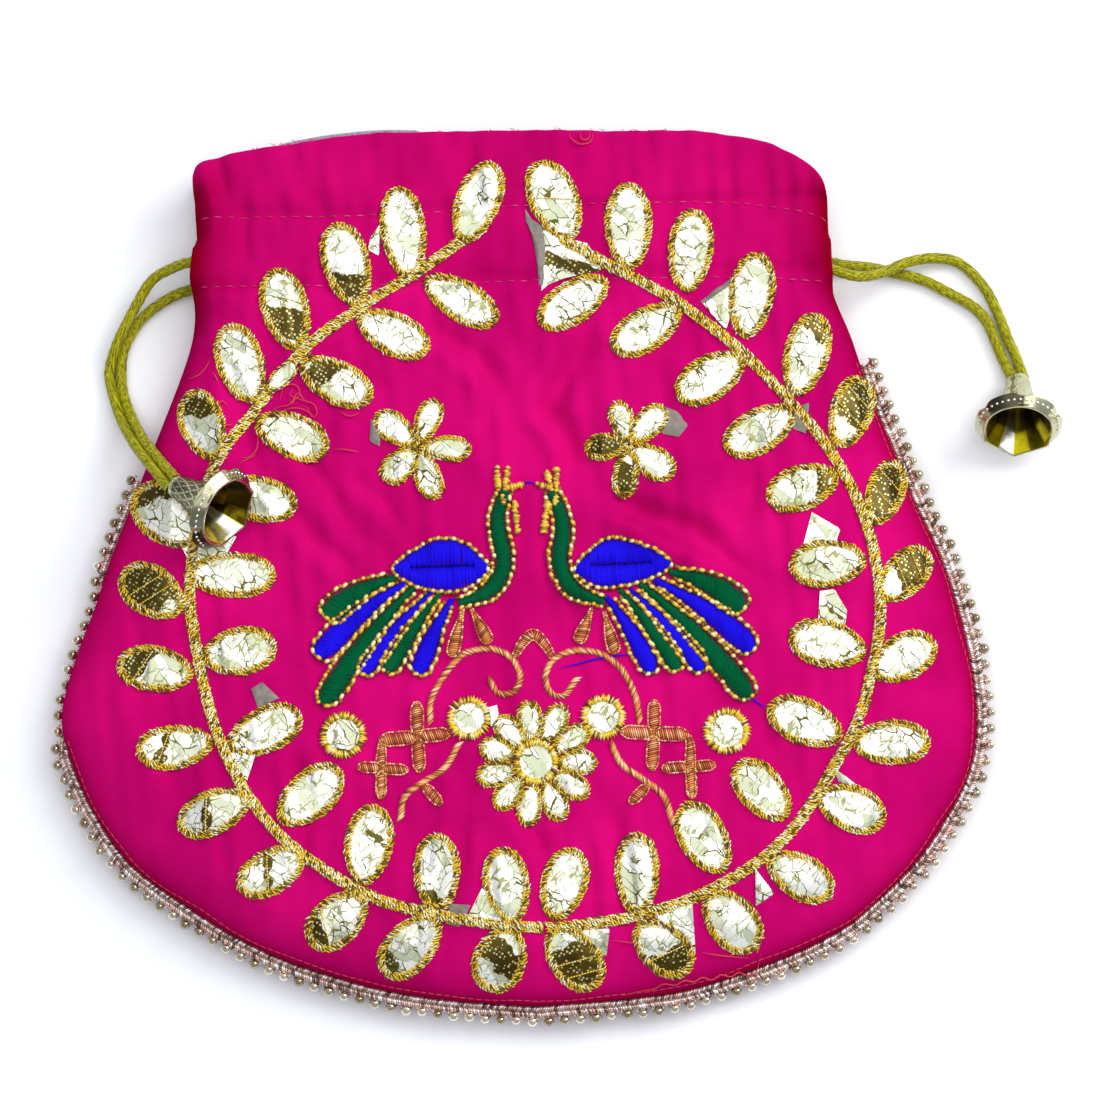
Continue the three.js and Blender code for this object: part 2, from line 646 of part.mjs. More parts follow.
// One cord: from its bell into the front casing, across, round the far fold and back again.
function cordRoute(cord, side, ends) {
  const far = -side * turnX;
  const bend = (cord.frontY - cord.backY) / 2;
  const rise = (frontRunZ - backRunZ) / 2;
  const reach = Math.hypot(bend, rise);
  const middleY = (cord.frontY + cord.backY) / 2;
  const middleZ = (frontRunZ + backRunZ) / 2;
  const turn = cordTurn.map((angle) => {
    const c = Math.cos(rad(angle));
    return [far - side * reach * Math.sin(rad(angle)), middleY + bend * c, middleZ + rise * c];
  });
  return [
    ends[0], ...[...cord.frontTail].reverse(),
    [side * exitX, cord.frontY, frontRunZ], [side * turnX, cord.frontY, frontRunZ],
    [far, cord.frontY, frontRunZ], ...turn, [far, cord.backY, backRunZ],
    [side * turnX, cord.backY, backRunZ], [side * exitX, cord.backY, backRunZ],
    ...cord.backTail, ends[1],
  ];
}

// A round cord through the route's points, with rings that don't twist along it.
function makeCord(route) {
  const curve = new THREE.CatmullRomCurve3(route.map((p) => new THREE.Vector3(...p)), false, 'centripetal');
  const rings = route.length - 1;
  const frames = curve.computeFrenetFrames(rings, false);
  const centres = [];
  const normals = [];
  let normal = frames.normals[0].clone();
  for (let i = 0; i <= rings; i += 1) {
    const tangent = curve.getTangent(i / rings);
    normal = normal.clone().addScaledVector(tangent, -normal.dot(tangent)).normalize();
    centres.push(curve.getPoint(i / rings));
    normals.push([normal, new THREE.Vector3().crossVectors(normal, tangent)]);
  }
  return reshape(new THREE.CylinderGeometry(1, 1, 1, cordSides, rings), (p) => {
    const i = Math.round((0.5 - p.y) * rings);
    const [a, b] = normals[i];
    const at = centres[i].clone().addScaledVector(a, (-p.x * cordD) / 2).addScaledVector(b, (p.z * cordD) / 2);
    return at.toArray();
  });
}

const bag = new THREE.Group();

function addPiece(name, geometry, look) {
  geometry.computeVertexNormals();
  const mesh = new THREE.Mesh(geometry, new THREE.MeshStandardMaterial(look));
  mesh.name = name;
  bag.add(mesh);
  return mesh;
}

addPiece('front_panel', makeFrontPanel(), finish.satin);
addPiece('back_panel', makeBackPanel(), finish.satin);
addPiece(
  'front_lining',
  makeLining(frontSeamZ, (y) => coverTop(y) - clothT - liningGap, frontRoll, 1),
  finish.lining,
);
addPiece('back_lining', makeLining(backSeamZ, () => clothT + liningGap, backRoll, -1), finish.lining);
addPiece('edging_braid', makeBraid(), finish.braid);
addPiece('edging_beads', makeBeads(), finish.bead);

for (const [name, side] of [['right', 1], ['left', -1]]) {
  const mirrored = ([x, y]) => [side * x, y];
  addPiece(`${name}_leaf_vine`, makeLeafVine(side), finish.zari);
  addPiece(`${name}_flower`, join(makePetals(starFlower, side, petalSides)), finish.foil);
  addPiece(
    `${name}_inner_spangle`,
    patch(circlePoints(mirrored(innerDisc.at), innerDisc.r, discSides), padRise),
    finish.foil,
  );
  addPiece(
    `${name}_outer_spangle`,
    patch(circlePoints(mirrored(outerDisc.at), outerDisc.r, discSides), padRise),
    finish.foil,
  );
  addPiece(`${name}_peacock_body`, patch(onSide(peacockBody, side), stitchRise, 1), finish.blue);
  const neck = ribbon(peacockNeck.map(mirrored), neckW, stitchRise, neckSteps);
  addPiece(`${name}_peacock_neck`, neck, finish.green);
  feathers.forEach((feather, i) => {
    const look = i % 2 === 0 ? finish.green : finish.blue;
    addPiece(`${name}_peacock_feather_${i + 1}`, makeFeather(feather, side), look);
  });
  legs.forEach(([root, tip], i) => {
    const points = leafOutline([...root, ...tip], legW, legTaper, petalSides);
    addPiece(`${name}_peacock_leg_${i + 1}`, patch(onSide(points, side), stitchRise, 1), finish.copper);
  });
}
addPiece('daisy_petals', join([makeDaisyRing(), ...makePetals(daisy, 1, petalSides)]), finish.foil);
addPiece('daisy_centre', patch(circlePoints(daisy.at, daisy.centreR, discSides), padRise), finish.foil);
addPiece('scrollwork', makeScrollwork(), finish.copper);

const onFront = (x, y) => coverZ(x, y) + padGap + padRise + gap;
const onTable = () => gap / 2;
for (const [name, side, bell, cord, floorZ] of [
  ['left', -1, leftBell, leftCord, onFront],
  ['right', 1, rightBell, rightCord, onTable],
]) {
  const mesh = addPiece(`${name}_bell`, makeBell(), finish.bell);
  restBell(mesh, bell, floorZ);
  const route = cordRoute(cord, side, cordEnds(mesh, bell, side));
  addPiece(`${name}_drawstring`, makeCord(route), finish.cord);
}

export default bag;
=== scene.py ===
import math
import bpy
import numpy as np
from mathutils import Matrix, Vector


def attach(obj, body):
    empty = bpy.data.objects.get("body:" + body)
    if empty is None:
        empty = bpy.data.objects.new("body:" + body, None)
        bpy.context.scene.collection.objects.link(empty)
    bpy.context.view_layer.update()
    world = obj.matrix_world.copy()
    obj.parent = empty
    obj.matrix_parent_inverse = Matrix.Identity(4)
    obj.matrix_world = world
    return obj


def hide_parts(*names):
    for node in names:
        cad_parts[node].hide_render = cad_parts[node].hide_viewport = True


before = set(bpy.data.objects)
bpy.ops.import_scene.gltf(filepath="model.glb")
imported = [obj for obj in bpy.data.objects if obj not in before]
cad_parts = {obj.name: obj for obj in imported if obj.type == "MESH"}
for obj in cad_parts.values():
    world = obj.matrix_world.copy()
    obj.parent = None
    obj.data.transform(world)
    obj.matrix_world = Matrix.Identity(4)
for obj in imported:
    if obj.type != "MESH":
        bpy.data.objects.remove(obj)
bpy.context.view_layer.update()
mm = 0.001  # sizes below are in millimetres, turned to metres when a mesh is made
dice = np.random.RandomState(21)
print("frame loaded,", len(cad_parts), "nodes")


def linear(text):  # sRGB hex to the linear colour that shaders take
    parts = [int(text[i:i + 2], 16) / 255 for i in (1, 3, 5)]
    return tuple(c / 12.92 if c <= 0.04045 else ((c + 0.055) / 1.055) ** 2.4 for c in parts) + (1.0,)


def addNode(tree, kind, settings=None, inputs=None):  # an input is a value, a hex colour or a socket to link
    node = tree.nodes.new("ShaderNode" + kind)
    for key, value in (settings or {}).items():
        setattr(node, key, value)
    for key, value in (inputs or {}).items():
        if isinstance(value, bpy.types.NodeSocket):
            tree.links.new(value, node.inputs[key])
        else:
            node.inputs[key].default_value = linear(value) if isinstance(value, str) else value
    return node


def newMaterial(name, sockets):
    material = bpy.data.materials.new(name)
    material.use_nodes = True
    tree = material.node_tree
    shader = tree.nodes["Principled BSDF"]
    for key, value in sockets.items():
        shader.inputs[key].default_value = linear(value) if isinstance(value, str) else value
    return material, tree, shader


rgba = {"data_type": "RGBA"}  # a Mix node that blends colours

# camera: above the bag, a little toward its bottom, turned so that the bag shows tilted
view = {"target": (5.4, 3.85, 8.0), "elevation": 82.0, "distance": 1000.0, "roll": 1.95, "lens": 136.4}


def makeCamera():
    el, roll = math.radians(view["elevation"]), math.radians(view["roll"])
    back = Vector((0, -math.cos(el), math.sin(el)))
    up = Vector((0, math.sin(el), math.cos(el)))
    right = Vector((1, 0, 0))
    across = right * math.cos(roll) - up * math.sin(roll)
    above = right * math.sin(roll) + up * math.cos(roll)
    data = bpy.data.cameras.new("camera")
    data.lens = view["lens"]
    data.sensor_width = 36
    data.clip_end = 20
    camera = bpy.data.objects.new("camera", data)
    spot = (Vector(view["target"]) + back * view["distance"]) * mm
    turn = Matrix((across, above, back)).transposed().to_4x4()
    camera.matrix_world = Matrix.Translation(spot) @ turn
    bpy.context.scene.collection.objects.link(camera)
    bpy.context.scene.camera = camera


makeCamera()
print("camera set")

# polyester satin: long floats of bright filament, so it glows and its folds shade softly
satin, tree, shader = newMaterial("polyester_satin", {"Roughness": 0.5, "Specular IOR Level": 0.0})
place = addNode(tree, "TexCoord")
# the turn mark carries the share of painted crimson shade at the turned edges
turn = addNode(tree, "Attribute", {"attribute_name": "turn"})
cloud = addNode(tree, "TexNoise", None,
    {"Vector": place.outputs["Object"], "Scale": 1 / (26 * mm), "Detail": 3.0})
warp = addNode(tree, "Mapping", None,
    {"Vector": place.outputs["Object"], "Scale": (1 / (9 * mm), 1 / (0.7 * mm), 1 / (0.7 * mm))})
# threads drawn 0.7 mm wide, coarser than real, so that they show
floats = addNode(tree, "TexNoise", None, {"Vector": warp.outputs[0], "Scale": 1.0, "Detail": 4.0})
mixed = addNode(tree, "Math", {"operation": "MULTIPLY_ADD"},
    {0: floats.outputs["Fac"], 1: 0.16, 2: cloud.outputs["Fac"]})
spread = addNode(tree, "MapRange", None, {"Value": mixed.outputs[0], "From Min": 0.36, "From Max": 0.84})
tint = addNode(tree, "Mix", rgba, {0: spread.outputs[0], 6: "#B2045E", 7: "#D40A70"})
# painted shade: crimson laid over the turned edge, seam and casing, where the satin turns away from the light
edge_shade_mix = addNode(tree, "Mix", rgba, {0: turn.outputs["Fac"], 6: tint.outputs[2], 7: "#86001E"})
bump = addNode(tree, "Bump", None, {"Height": floats.outputs["Fac"], "Strength": 0.08, "Distance": 0.3 * mm})
tree.links.new(edge_shade_mix.outputs[2], shader.inputs["Base Color"])
tree.links.new(bump.outputs[0], shader.inputs["Normal"])

# lining taffeta: plain woven and matt, grey with a lilac cast
taffeta, tree, shader = newMaterial("lining_taffeta", {"Roughness": 0.75, "Specular IOR Level": 0.2})
place = addNode(tree, "TexCoord")
weave = addNode(tree, "TexNoise", None,
    {"Vector": place.outputs["Object"], "Scale": 1 / (0.8 * mm), "Detail": 2.0})
tint = addNode(tree, "Mix", rgba, {0: weave.outputs["Fac"], 6: "#8F8698", 7: "#C9C2CF"})
tree.links.new(tint.outputs[2], shader.inputs["Base Color"])

# viscose cord: fine filaments laid at a slant, a soft silky olive; the dark and yellow stripes along the lay
# are the strands' pattern with painted highlight and shade in it
viscose, tree, shader = newMaterial("viscose_cord",
    {"Roughness": 0.42, "Specular IOR Level": 0.35, "Specular Tint": "#E8E070"})
lay = addNode(tree, "Attribute", {"attribute_name": "lay"})
fibre = addNode(tree, "TexNoise", {"noise_dimensions": "2D"},
    {"Vector": lay.outputs["Vector"], "Scale": 1.0, "Detail": 4.0, "Roughness": 0.6})
spread = addNode(tree, "MapRange", None, {"Value": fibre.outputs["Fac"], "From Min": 0.36, "From Max": 0.64})
tint = addNode(tree, "Mix", rgba, {0: spread.outputs[0], 6: "#544E04", 7: "#C2BE26"})
bump = addNode(tree, "Bump", None, {"Height": fibre.outputs["Fac"], "Strength": 0.7, "Distance": 0.3 * mm})
tree.links.new(tint.outputs[2], shader.inputs["Base Color"])
tree.links.new(bump.outputs[0], shader.inputs["Normal"])


# a yarn whose stitches differ in tone from one to the next
def threadMaterial(name, dark, mid, light, sockets):
    material, tree, shader = newMaterial(name, sockets)
    tone = addNode(tree, "Attribute", {"attribute_name": "tone"})
    low = addNode(tree, "MapRange", None, {"Value": tone.outputs["Fac"], "From Min": 0.0, "From Max": 0.45})
    high = addNode(tree, "MapRange", None, {"Value": tone.outputs["Fac"], "From Min": 0.64, "From Max": 0.96})
    first = addNode(tree, "Mix", rgba, {0: low.outputs[0], 6: dark, 7: mid})
    second = addNode(tree, "Mix", rgba, {0: high.outputs[0], 6: first.outputs[2], 7: light})
    place = addNode(tree, "TexCoord")
    wrap = addNode(tree, "TexNoise", None,
        {"Vector": place.outputs["Object"], "Scale": 1 / (0.35 * mm), "Detail": 1.0})
    bump = addNode(tree, "Bump", None,
        {"Height": wrap.outputs["Fac"], "Strength": 0.25, "Distance": 0.1 * mm})
    tree.links.new(second.outputs[2], shader.inputs["Base Color"])
    tree.links.new(bump.outputs[0], shader.inputs["Normal"])
    return material


# zari: a silk core wrapped in gilt strip; its near-white stitch tones are painted glints and its dark brown
# tones painted shade in the gaps
zari = threadMaterial("zari_gilt_thread", "#5E3406", "#F4D034", "#FFFAD0",
    {"Metallic": 0.3, "Roughness": 0.3})
# chain stitch round the birds: gilt and pale yellow links with near-black brown between as painted shade, the
# palest links as painted glints
chain = threadMaterial("gilt_chain_yarn", "#46180A", "#EEC03A", "#FFF2AC",
    {"Metallic": 0.25, "Roughness": 0.36})
# rayon: untwisted shiny floss in satin stitch
# copper floss: its pale tones are painted highlights and its dark tones painted shade between stitches
copperFloss = threadMaterial("copper_rayon_floss", "#8C4416", "#E08E46", "#FFDCA4",
    {"Metallic": 0.2, "Roughness": 0.38})
blueFloss = threadMaterial("blue_rayon_floss", "#0A0472", "#1E10D8", "#3424FF",
    {"Roughness": 0.5, "Specular IOR Level": 0.2, "Specular Tint": "#6060FF"})
greenFloss = threadMaterial("green_rayon_floss", "#00301C", "#005632", "#087248",
    {"Roughness": 0.5, "Specular IOR Level": 0.2, "Specular Tint": "#60E0A0"})
# lurex braid: rose-gold metallised strip round a cotton core; its white tones are painted glints and its dark
# tones painted shade in the gaps
lurex = threadMaterial("rose_lurex_braid", "#64443A", "#DEC0B0", "#FFFFFF",
    {"Metallic": 0.7, "Roughness": 0.24})
# spun polyester sewing thread: matt and thin
sewing = threadMaterial("sewing_thread", "#D23040", "#C8205C", "#F08CA8", {"Roughness": 0.65})

# metallised film: a mirror with a thin gold lacquer, crinkled by the needle; its near-white colour is painted
# reflection of the soft box, and its cracks are coloured dark as painted shade
film, tree, shader = newMaterial("metallised_film",
    {"Metallic": 0.35, "Roughness": 0.24, "Specular Tint": "#F0DC98"})
place = addNode(tree, "TexCoord")
# dark: the share of the film painted as dark reflection
dark = addNode(tree, "Attribute", {"attribute_name": "dark"})
patch = addNode(tree, "TexNoise", None,
    {"Vector": place.outputs["Object"], "Scale": 1 / (3.2 * mm), "Detail": 3.0})
bent = addNode(tree, "VectorMath", {"operation": "MULTIPLY_ADD"},
    {0: patch.outputs["Color"], 1: (1.5 * mm,) * 3, 2: place.outputs["Object"]})
pull = addNode(tree, "Mapping", {"vector_type": "TEXTURE"},
    {"Vector": bent.outputs[0], "Rotation": (0, 0, 0.8), "Scale": (1.0, 2.6, 1.0)})
cross = addNode(tree, "Mapping", {"vector_type": "TEXTURE"},
    {"Vector": bent.outputs[0], "Rotation": (0, 0, -0.7), "Scale": (1.0, 3.0, 1.0)})
crack = addNode(tree, "TexVoronoi", {"feature": "DISTANCE_TO_EDGE"},
    {"Vector": pull.outputs[0], "Scale": 1 / (2.6 * mm)})
plane = addNode(tree, "TexVoronoi", None, {"Vector": pull.outputs[0], "Scale": 1 / (2.6 * mm)})
some = addNode(tree, "TexNoise", None,
    {"Vector": place.outputs["Object"], "Scale": 1 / (6 * mm), "Detail": 1.0})
thin = addNode(tree, "MapRange", None,
    {"Value": some.outputs["Fac"], "From Min": 0.4, "From Max": 0.7, "To Min": 0.0, "To Max": 0.042})
line = addNode(tree, "Math", {"operation": "LESS_THAN"}, {0: crack.outputs["Distance"], 1: thin.outputs[0]})
# creases the other way, drawn a third coarser than real
crease = addNode(tree, "TexVoronoi", {"feature": "DISTANCE_TO_EDGE"},
    {"Vector": cross.outputs[0], "Scale": 1 / (1.5 * mm)})
fine = addNode(tree, "MapRange", None,
    {"Value": patch.outputs["Fac"], "From Min": 0.42, "From Max": 0.7, "To Min": 0.0, "To Max": 0.1})
hair = addNode(tree, "Math", {"operation": "LESS_THAN"}, {0: crease.outputs["Distance"], 1: fine.outputs[0]})
slant = addNode(tree, "Mapping", None, {"Vector": place.outputs["Object"], "Rotation": (0, 0, 0.6)})
net = addNode(tree, "TexVoronoi", None,
    {"Vector": slant.outputs[0], "Scale": 1 / (0.95 * mm), "Randomness": 0.45})
dots = addNode(tree, "Math", {"operation": "LESS_THAN"}, {0: net.outputs["Distance"], 1: 0.3})
# painted dark reflection: olive to near-black brown, with pale embossed dots as painted highlights
painted_dark_reflection = addNode(tree, "Mix", rgba, {0: some.outputs["Fac"], 6: "#080502", 7: "#5E4A0E"})
# painted reflection: whole facets tinted grey-green instead of white
painted_facet_reflection = addNode(tree, "MapRange", None, {"Value": plane.outputs["Color"], "From Min": 0.5, "From Max": 0.8})
pale = addNode(tree, "Mix", rgba, {0: painted_facet_reflection.outputs[0], 6: "#FFFFF4", 7: "#CBD2B2"})
# creases and cracks coloured darker as painted shade
painted_crease_shade = addNode(tree, "Mix", rgba, {0: hair.outputs[0], 6: pale.outputs[2], 7: "#A8A878"})
shade = addNode(tree, "Mix", rgba, {0: dots.outputs[0], 6: painted_dark_reflection.outputs[2], 7: "#CCC488"})
cut = addNode(tree, "MapRange", None, {"Value": dark.outputs["Fac"], "From Min": 0.3, "From Max": 0.55})
both = addNode(tree, "Mix", rgba, {0: cut.outputs[0], 6: painted_crease_shade.outputs[2], 7: shade.outputs[2]})
painted_crack_shade = addNode(tree, "Mix", rgba, {0: line.outputs[0], 6: both.outputs[2], 7: "#5E581E"})
bump = addNode(tree, "Bump", None,
    {"Height": crease.outputs["Distance"], "Strength": 0.2, "Distance": 0.25 * mm})
tree.links.new(painted_crack_shade.outputs[2], shader.inputs["Base Color"])
tree.links.new(bump.outputs[0], shader.inputs["Normal"])

# back of the film: dull grey-brown size coat, seen on torn scraps
filmBack, tree, shader = newMaterial("film_size_coat", {"Roughness": 0.6, "Metallic": 0.2})
place = addNode(tree, "TexCoord")
speck = addNode(tree, "TexNoise", None,
    {"Vector": place.outputs["Object"], "Scale": 1 / (1.5 * mm), "Detail": 3.0})
tint = addNode(tree, "Mix", rgba, {0: speck.outputs["Fac"], 6: "#5A5048", 7: "#A0968A"})
tree.links.new(tint.outputs[2], shader.inputs["Base Color"])

# pressed brass, gilt and lacquered: pale on the embossed outside; inside, the facets run from dark to bright
# gold as painted reflection, and the net's cells and some petals carry painted shade
brass, tree, shader = newMaterial("pressed_brass", {"Metallic": 1.0, "Roughness": 0.24})
inside = addNode(tree, "Attribute", {"attribute_name": "inside"})
painted_facet_light = addNode(tree, "Attribute", {"attribute_name": "painted_facet_light"})
painted_shade = addNode(tree, "Attribute", {"attribute_name": "painted_shade"})
place = addNode(tree, "TexCoord")
wear = addNode(tree, "TexNoise", None,
    {"Vector": place.outputs["Object"], "Scale": 1 / (2.5 * mm), "Detail": 3.0})
outer = addNode(tree, "Mix", rgba, {0: wear.outputs["Fac"], 6: "#AEAC76", 7: "#F4F2CE"})
shift = addNode(tree, "Math", {"operation": "MULTIPLY_ADD"},
    {0: wear.outputs["Fac"], 1: 0.5, 2: painted_facet_light.outputs["Fac"]})
low = addNode(tree, "MapRange", None, {"Value": shift.outputs[0], "From Min": 0.2, "From Max": 0.75})
high = addNode(tree, "MapRange", None, {"Value": shift.outputs[0], "From Min": 0.85, "From Max": 1.2})
# painted reflection: the inside facets run from dark brown through olive gold to near-white
deep = addNode(tree, "Mix", rgba, {0: low.outputs[0], 6: "#3E2C04", 7: "#C4B81A"})
inner = addNode(tree, "Mix", rgba, {0: high.outputs[0], 6: deep.outputs[2], 7: "#FFFFF2"})
tint = addNode(tree, "Mix", rgba, {0: inside.outputs["Fac"], 6: outer.outputs[2], 7: inner.outputs[2]})
painted_shade_mix = addNode(tree, "Mix", rgba, {0: painted_shade.outputs["Fac"], 6: tint.outputs[2], 7: "#1E1608"})
tree.links.new(painted_shade_mix.outputs[2], shader.inputs["Base Color"])

# metallised acrylic beads: small pale gold mirrors with one white glint each
acrylic, tree, shader = newMaterial("metallised_acrylic", {"Metallic": 0.95, "Roughness": 0.14})
tone = addNode(tree, "Attribute", {"attribute_name": "tone"})
tint = addNode(tree, "Mix", rgba, {0: tone.outputs["Fac"], 6: "#A89C78", 7: "#FFF6DC"})
tree.links.new(tint.outputs[2], shader.inputs["Base Color"])
print("materials made")


def addMesh(name, verts, faces, material, marks=None):
    verts = np.asarray(verts, float).reshape(-1, 3) * mm
    faces = np.asarray(faces, np.int32)
    mesh = bpy.data.meshes.new(name)
    mesh.vertices.add(len(verts))
    mesh.vertices.foreach_set("co", verts.ravel())
    mesh.loops.add(faces.size)
    mesh.loops.foreach_set("vertex_index", faces.ravel())
    mesh.polygons.add(len(faces))
    mesh.polygons.foreach_set("loop_start", np.arange(0, faces.size, faces.shape[1], dtype=np.int32))
    mesh.update(calc_edges=True)
    mesh.validate()
    mesh.polygons.foreach_set("use_smooth", np.full(len(mesh.polygons), True))
    for key, value in (marks or {}).items():
        value = np.asarray(value, np.float32)
        flat = value.ndim == 1
        mark = mesh.attributes.new(key, "FLOAT" if flat else "FLOAT_VECTOR", "POINT")
        mark.data.foreach_set("value" if flat else "vector", value.ravel())
    mesh.materials.append(material)
    piece = bpy.data.objects.new(name, mesh)
    bpy.context.scene.collection.objects.link(piece)
    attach(piece, "root")
    return piece


def smoothLine(points, pitch, closed=False):  # a smooth curve through the points, cut at an even pitch
    p = np.asarray(points, float)
    ends = (p[-1:], p[:2]) if closed else (2 * p[:1] - p[1:2], 2 * p[-1:] - p[-2:-1])
    q = np.vstack([ends[0], p, ends[1]])
    t = np.linspace(0, 1, 24, endpoint=False)[:, None]
    runs = []
    for a, b, c, d in zip(q, q[1:], q[2:], q[3:]):
        runs.append(0.5 * (2 * b + (c - a) * t + (2 * a - 5 * b + 4 * c - d) * t ** 2
            + (3 * b - a - 3 * c + d) * t ** 3))
    dense = np.vstack(runs + [q[-2:-1] if not closed else p[:1]])
    return evenly(dense, pitch)


def evenly(line, pitch):
    steps = np.hypot.reduce(np.diff(line, axis=0), axis=1)
    run = np.concatenate([[0], np.cumsum(steps)])
    count = max(2, int(round(run[-1] / pitch)) + 1)
    at = np.linspace(0, run[-1], count)
    return np.stack([np.interp(at, run, line[:, i]) for i in range(line.shape[1])], 1)


def normals(line, closed=False):  # unit tangent, and the normal to its right, of a plan line
    if closed:
        along = np.roll(line, -1, 0) - np.roll(line, 1, 0)
    else:
        along = np.gradient(line, axis=0)
    along = along / np.maximum(np.hypot(along[:, 0], along[:, 1]), 1e-9)[:, None]
    return along, np.stack([along[:, 1], -along[:, 0]], 1)


def ripple(x, y, size, seed):  # soft random waves of about that wavelength, from -1 to 1
    r = np.random.RandomState(seed)
    total = 0
    for _ in range(7):
        a, k = r.uniform(0, 2 * math.pi), 2 * math.pi / (size * r.uniform(0.7, 1.5))
        total = total + np.sin(k * (x * math.cos(a) + y * math.sin(a)) + r.uniform(0, 2 * math.pi))
    return total / 2.65


def ease(t):
    t = np.clip(t, 0, 1)
    return t * t * (3 - 2 * t)


# outline of the sewn bag as it lies: mouth from left to right, then each side down to the bottom
cloth = {
    "mouth": [(-78.3, 91.5), (-77.6, 97.4), (-75, 100.1), (-65, 102.3), (-55.2, 103.5), (-44, 105.1),
        (-32.7, 105.8), (-22.8, 105.6), (0, 105.2), (20, 104.7), (42.7, 103.6), (59.1, 100.7), (65.1, 98),
        (70.8, 94.2), (74, 90.2), (75.7, 85.8)],
    "left": [(-78.3, 91.5), (-77.9, 82.7), (-79.1, 72.6), (-78.8, 63.1), (-81, 53.3), (-88.9, 33.6),
        (-94, 21.1), (-100, 6.7), (-104.4, -6.1), (-108.8, -17.1), (-112.2, -28), (-112.8, -34),
        (-112, -38.7), (-109.2, -47.2), (-105.3, -55.8), (-100.3, -64), (-94.6, -70.4), (-81.6, -80.1),
        (-72.6, -86), (-59.8, -92.5), (-43.2, -98.3), (-32.6, -101), (-19.8, -103.1), (-1.5, -105)],
    "right": [(75.7, 85.8), (75.7, 80.1), (76, 65.7), (80.1, 53.6), (84.5, 38.2), (89, 25.8), (93.3, 13.4),
        (98.5, 1.1), (102.2, -11.2), (104.8, -23.4), (106, -35.5), (105.8, -43.5), (104, -51.5),
        (101.1, -58.1), (96.9, -64.6), (92.7, -70.6), (86.7, -77.1), (80.2, -82.8), (71.4, -89.4),
        (57.2, -95.6), (37.7, -101.6), (23.2, -103.7), (-1.5, -105)],
    "seam": 5.0, "casingTop": 15.4, "bodyRise": 1.2, "rows": (86.3, 68.8), "rowDip": 0.9,
    "slits": (68, 83, 64.5, 79.5), "slitOpen": (8.9, 3.2),
    "pucker": 0.42, "mouthDrop": (2.2, 0.9), "frontDensity": (191, 192), "backDensity": (111, 112),
    "hem": 1.7, "hemFold": 0.9, "casing": 4.9, "headY": 84, "facingY": 66, "bottom": -104.8,
    "casingRoll": 5.5, "frontRoll": 26.0, "backRoll": 16.0,
    # soft creases: from, to, half width, depth
    "creases": [(-19, 57, -6, 44, 2.6, 1.1), (14, 53, 7, 36, 3, 1.5), (6.5, 36, 12, 25, 2.4, 1.3),
        (24, 14.5, 44, 3, 2.6, 1.9), (30, 9, 50, -4, 2.2, 1), (-17.3, -56.2, -21.2, -88.9, 2.4, 1),
        (-1, -61.5, -1.2, -68.6, 2, 0.8), (18, -60, 20, -84, 2.4, 0.7), (-69, 46, -66, 30, 2.4, 0.9),
        (-55, 30, -40, 10, 2.2, 0.9), (-60, 20, -44, 2, 2.2, 0.8), (-38, 20, -30, 8, 1.8, 0.7),
        (-46, 40, -36, 44, 1.8, 0.6), (58, 30, 52, 8, 3, 0.8), (-50, 92, -46, 72, 2.6, 0.7),
        (-12, 100, -10, 76, 2.6, 0.6), (60, 96, 66, 74, 3, 0.8), (-70, 98, -68, 76, 2.6, 0.9),
        (-66, 84, -62, 72, 1.8, 0.7), (10, 12, 4, -8, 2.6, 0.4), (-56, -48, -54, -66, 2.2, 0.9),
        (-88, -30, -84, -58, 4, 0.8), (60, -50, 58, -62, 2.2, 0.8), (90, -8, 98, -36, 4, 0.7)],
}
mouthLine = smoothLine(cloth["mouth"], 1.0)
leftLine = smoothLine(cloth["left"], 1.5)
rightLine = smoothLine(cloth["right"], 1.5)
edgeLine = np.vstack([leftLine, rightLine[::-1]])


def sideX(line, y):
    return np.interp(-np.asarray(y, float), -line[:, 1], line[:, 0])


def mouthY(x):
    return np.interp(x, mouthLine[:, 0], mouthLine[:, 1])


def edgeDistance(x, y):
    a, d = edgeLine[:-1], np.diff(edgeLine, axis=0)
    size = np.maximum((d * d).sum(1), 1e-9)
    x, y = np.ravel(x), np.ravel(y)
    best = np.empty(len(x))
    for i in range(0, len(x), 6000):
        px, py = x[i:i + 6000, None] - a[:, 0], y[i:i + 6000, None] - a[:, 1]
        t = np.clip((px * d[:, 0] + py * d[:, 1]) / size, 0, 1)
        best[i:i + 6000] = np.sqrt(((px - t * d[:, 0]) ** 2 + (py - t * d[:, 1]) ** 2).min(1))
    return best


def slit(x, y):  # the side seam is left open between the stitch rows, for the cords
    low, high = (np.where(x < 0, cloth["slits"][k], cloth["slits"][k + 2]) for k in (0, 1))
    return ease((y - low) / 4) * ease((high - y) / 4)


def rollShare(x, y, belly):
    x, y = np.ravel(x), np.ravel(y)
    radius = cloth["casingRoll"] + (belly - cloth["casingRoll"]) * np.clip((cloth["rows"][1] - y) / 44, 0, 1)
    t = np.clip(edgeDistance(x, y) / radius, 0, 1)
    return np.sqrt(1 - (1 - t) ** 2)


def creased(x, y):
    total = 0.4 * ripple(x, y, 38, 3) + 0.3 * ripple(x, y * 0.7, 11, 4) + 0.25 * ripple(x, y * 0.4, 6.5, 14)
    for x0, y0, x1, y1, width, depth in cloth["creases"]:
        dx, dy = x1 - x0, y1 - y0
        t = ((x - x0) * dx + (y - y0) * dy) / (dx * dx + dy * dy)
        bow = 1.2 * np.sin(3 * t + x0)
        off = ((x - x0) * dy - (y - y0) * dx) / math.hypot(dx, dy) + bow
        for lift, shift in ((-1.85, 0), (0.9, 2)):  # a furrow with a ridge beside it
            swell = lift * depth * np.exp(-((off - shift * width) / width) ** 2)
            total = total + swell * ease((t + 0.35) / 0.5) * ease((1.35 - t) / 0.5)
    return total * (1 - 0.6 * ease((y - 64) / 5) * ease((90 - y) / 5))  # the cords hold the casing out


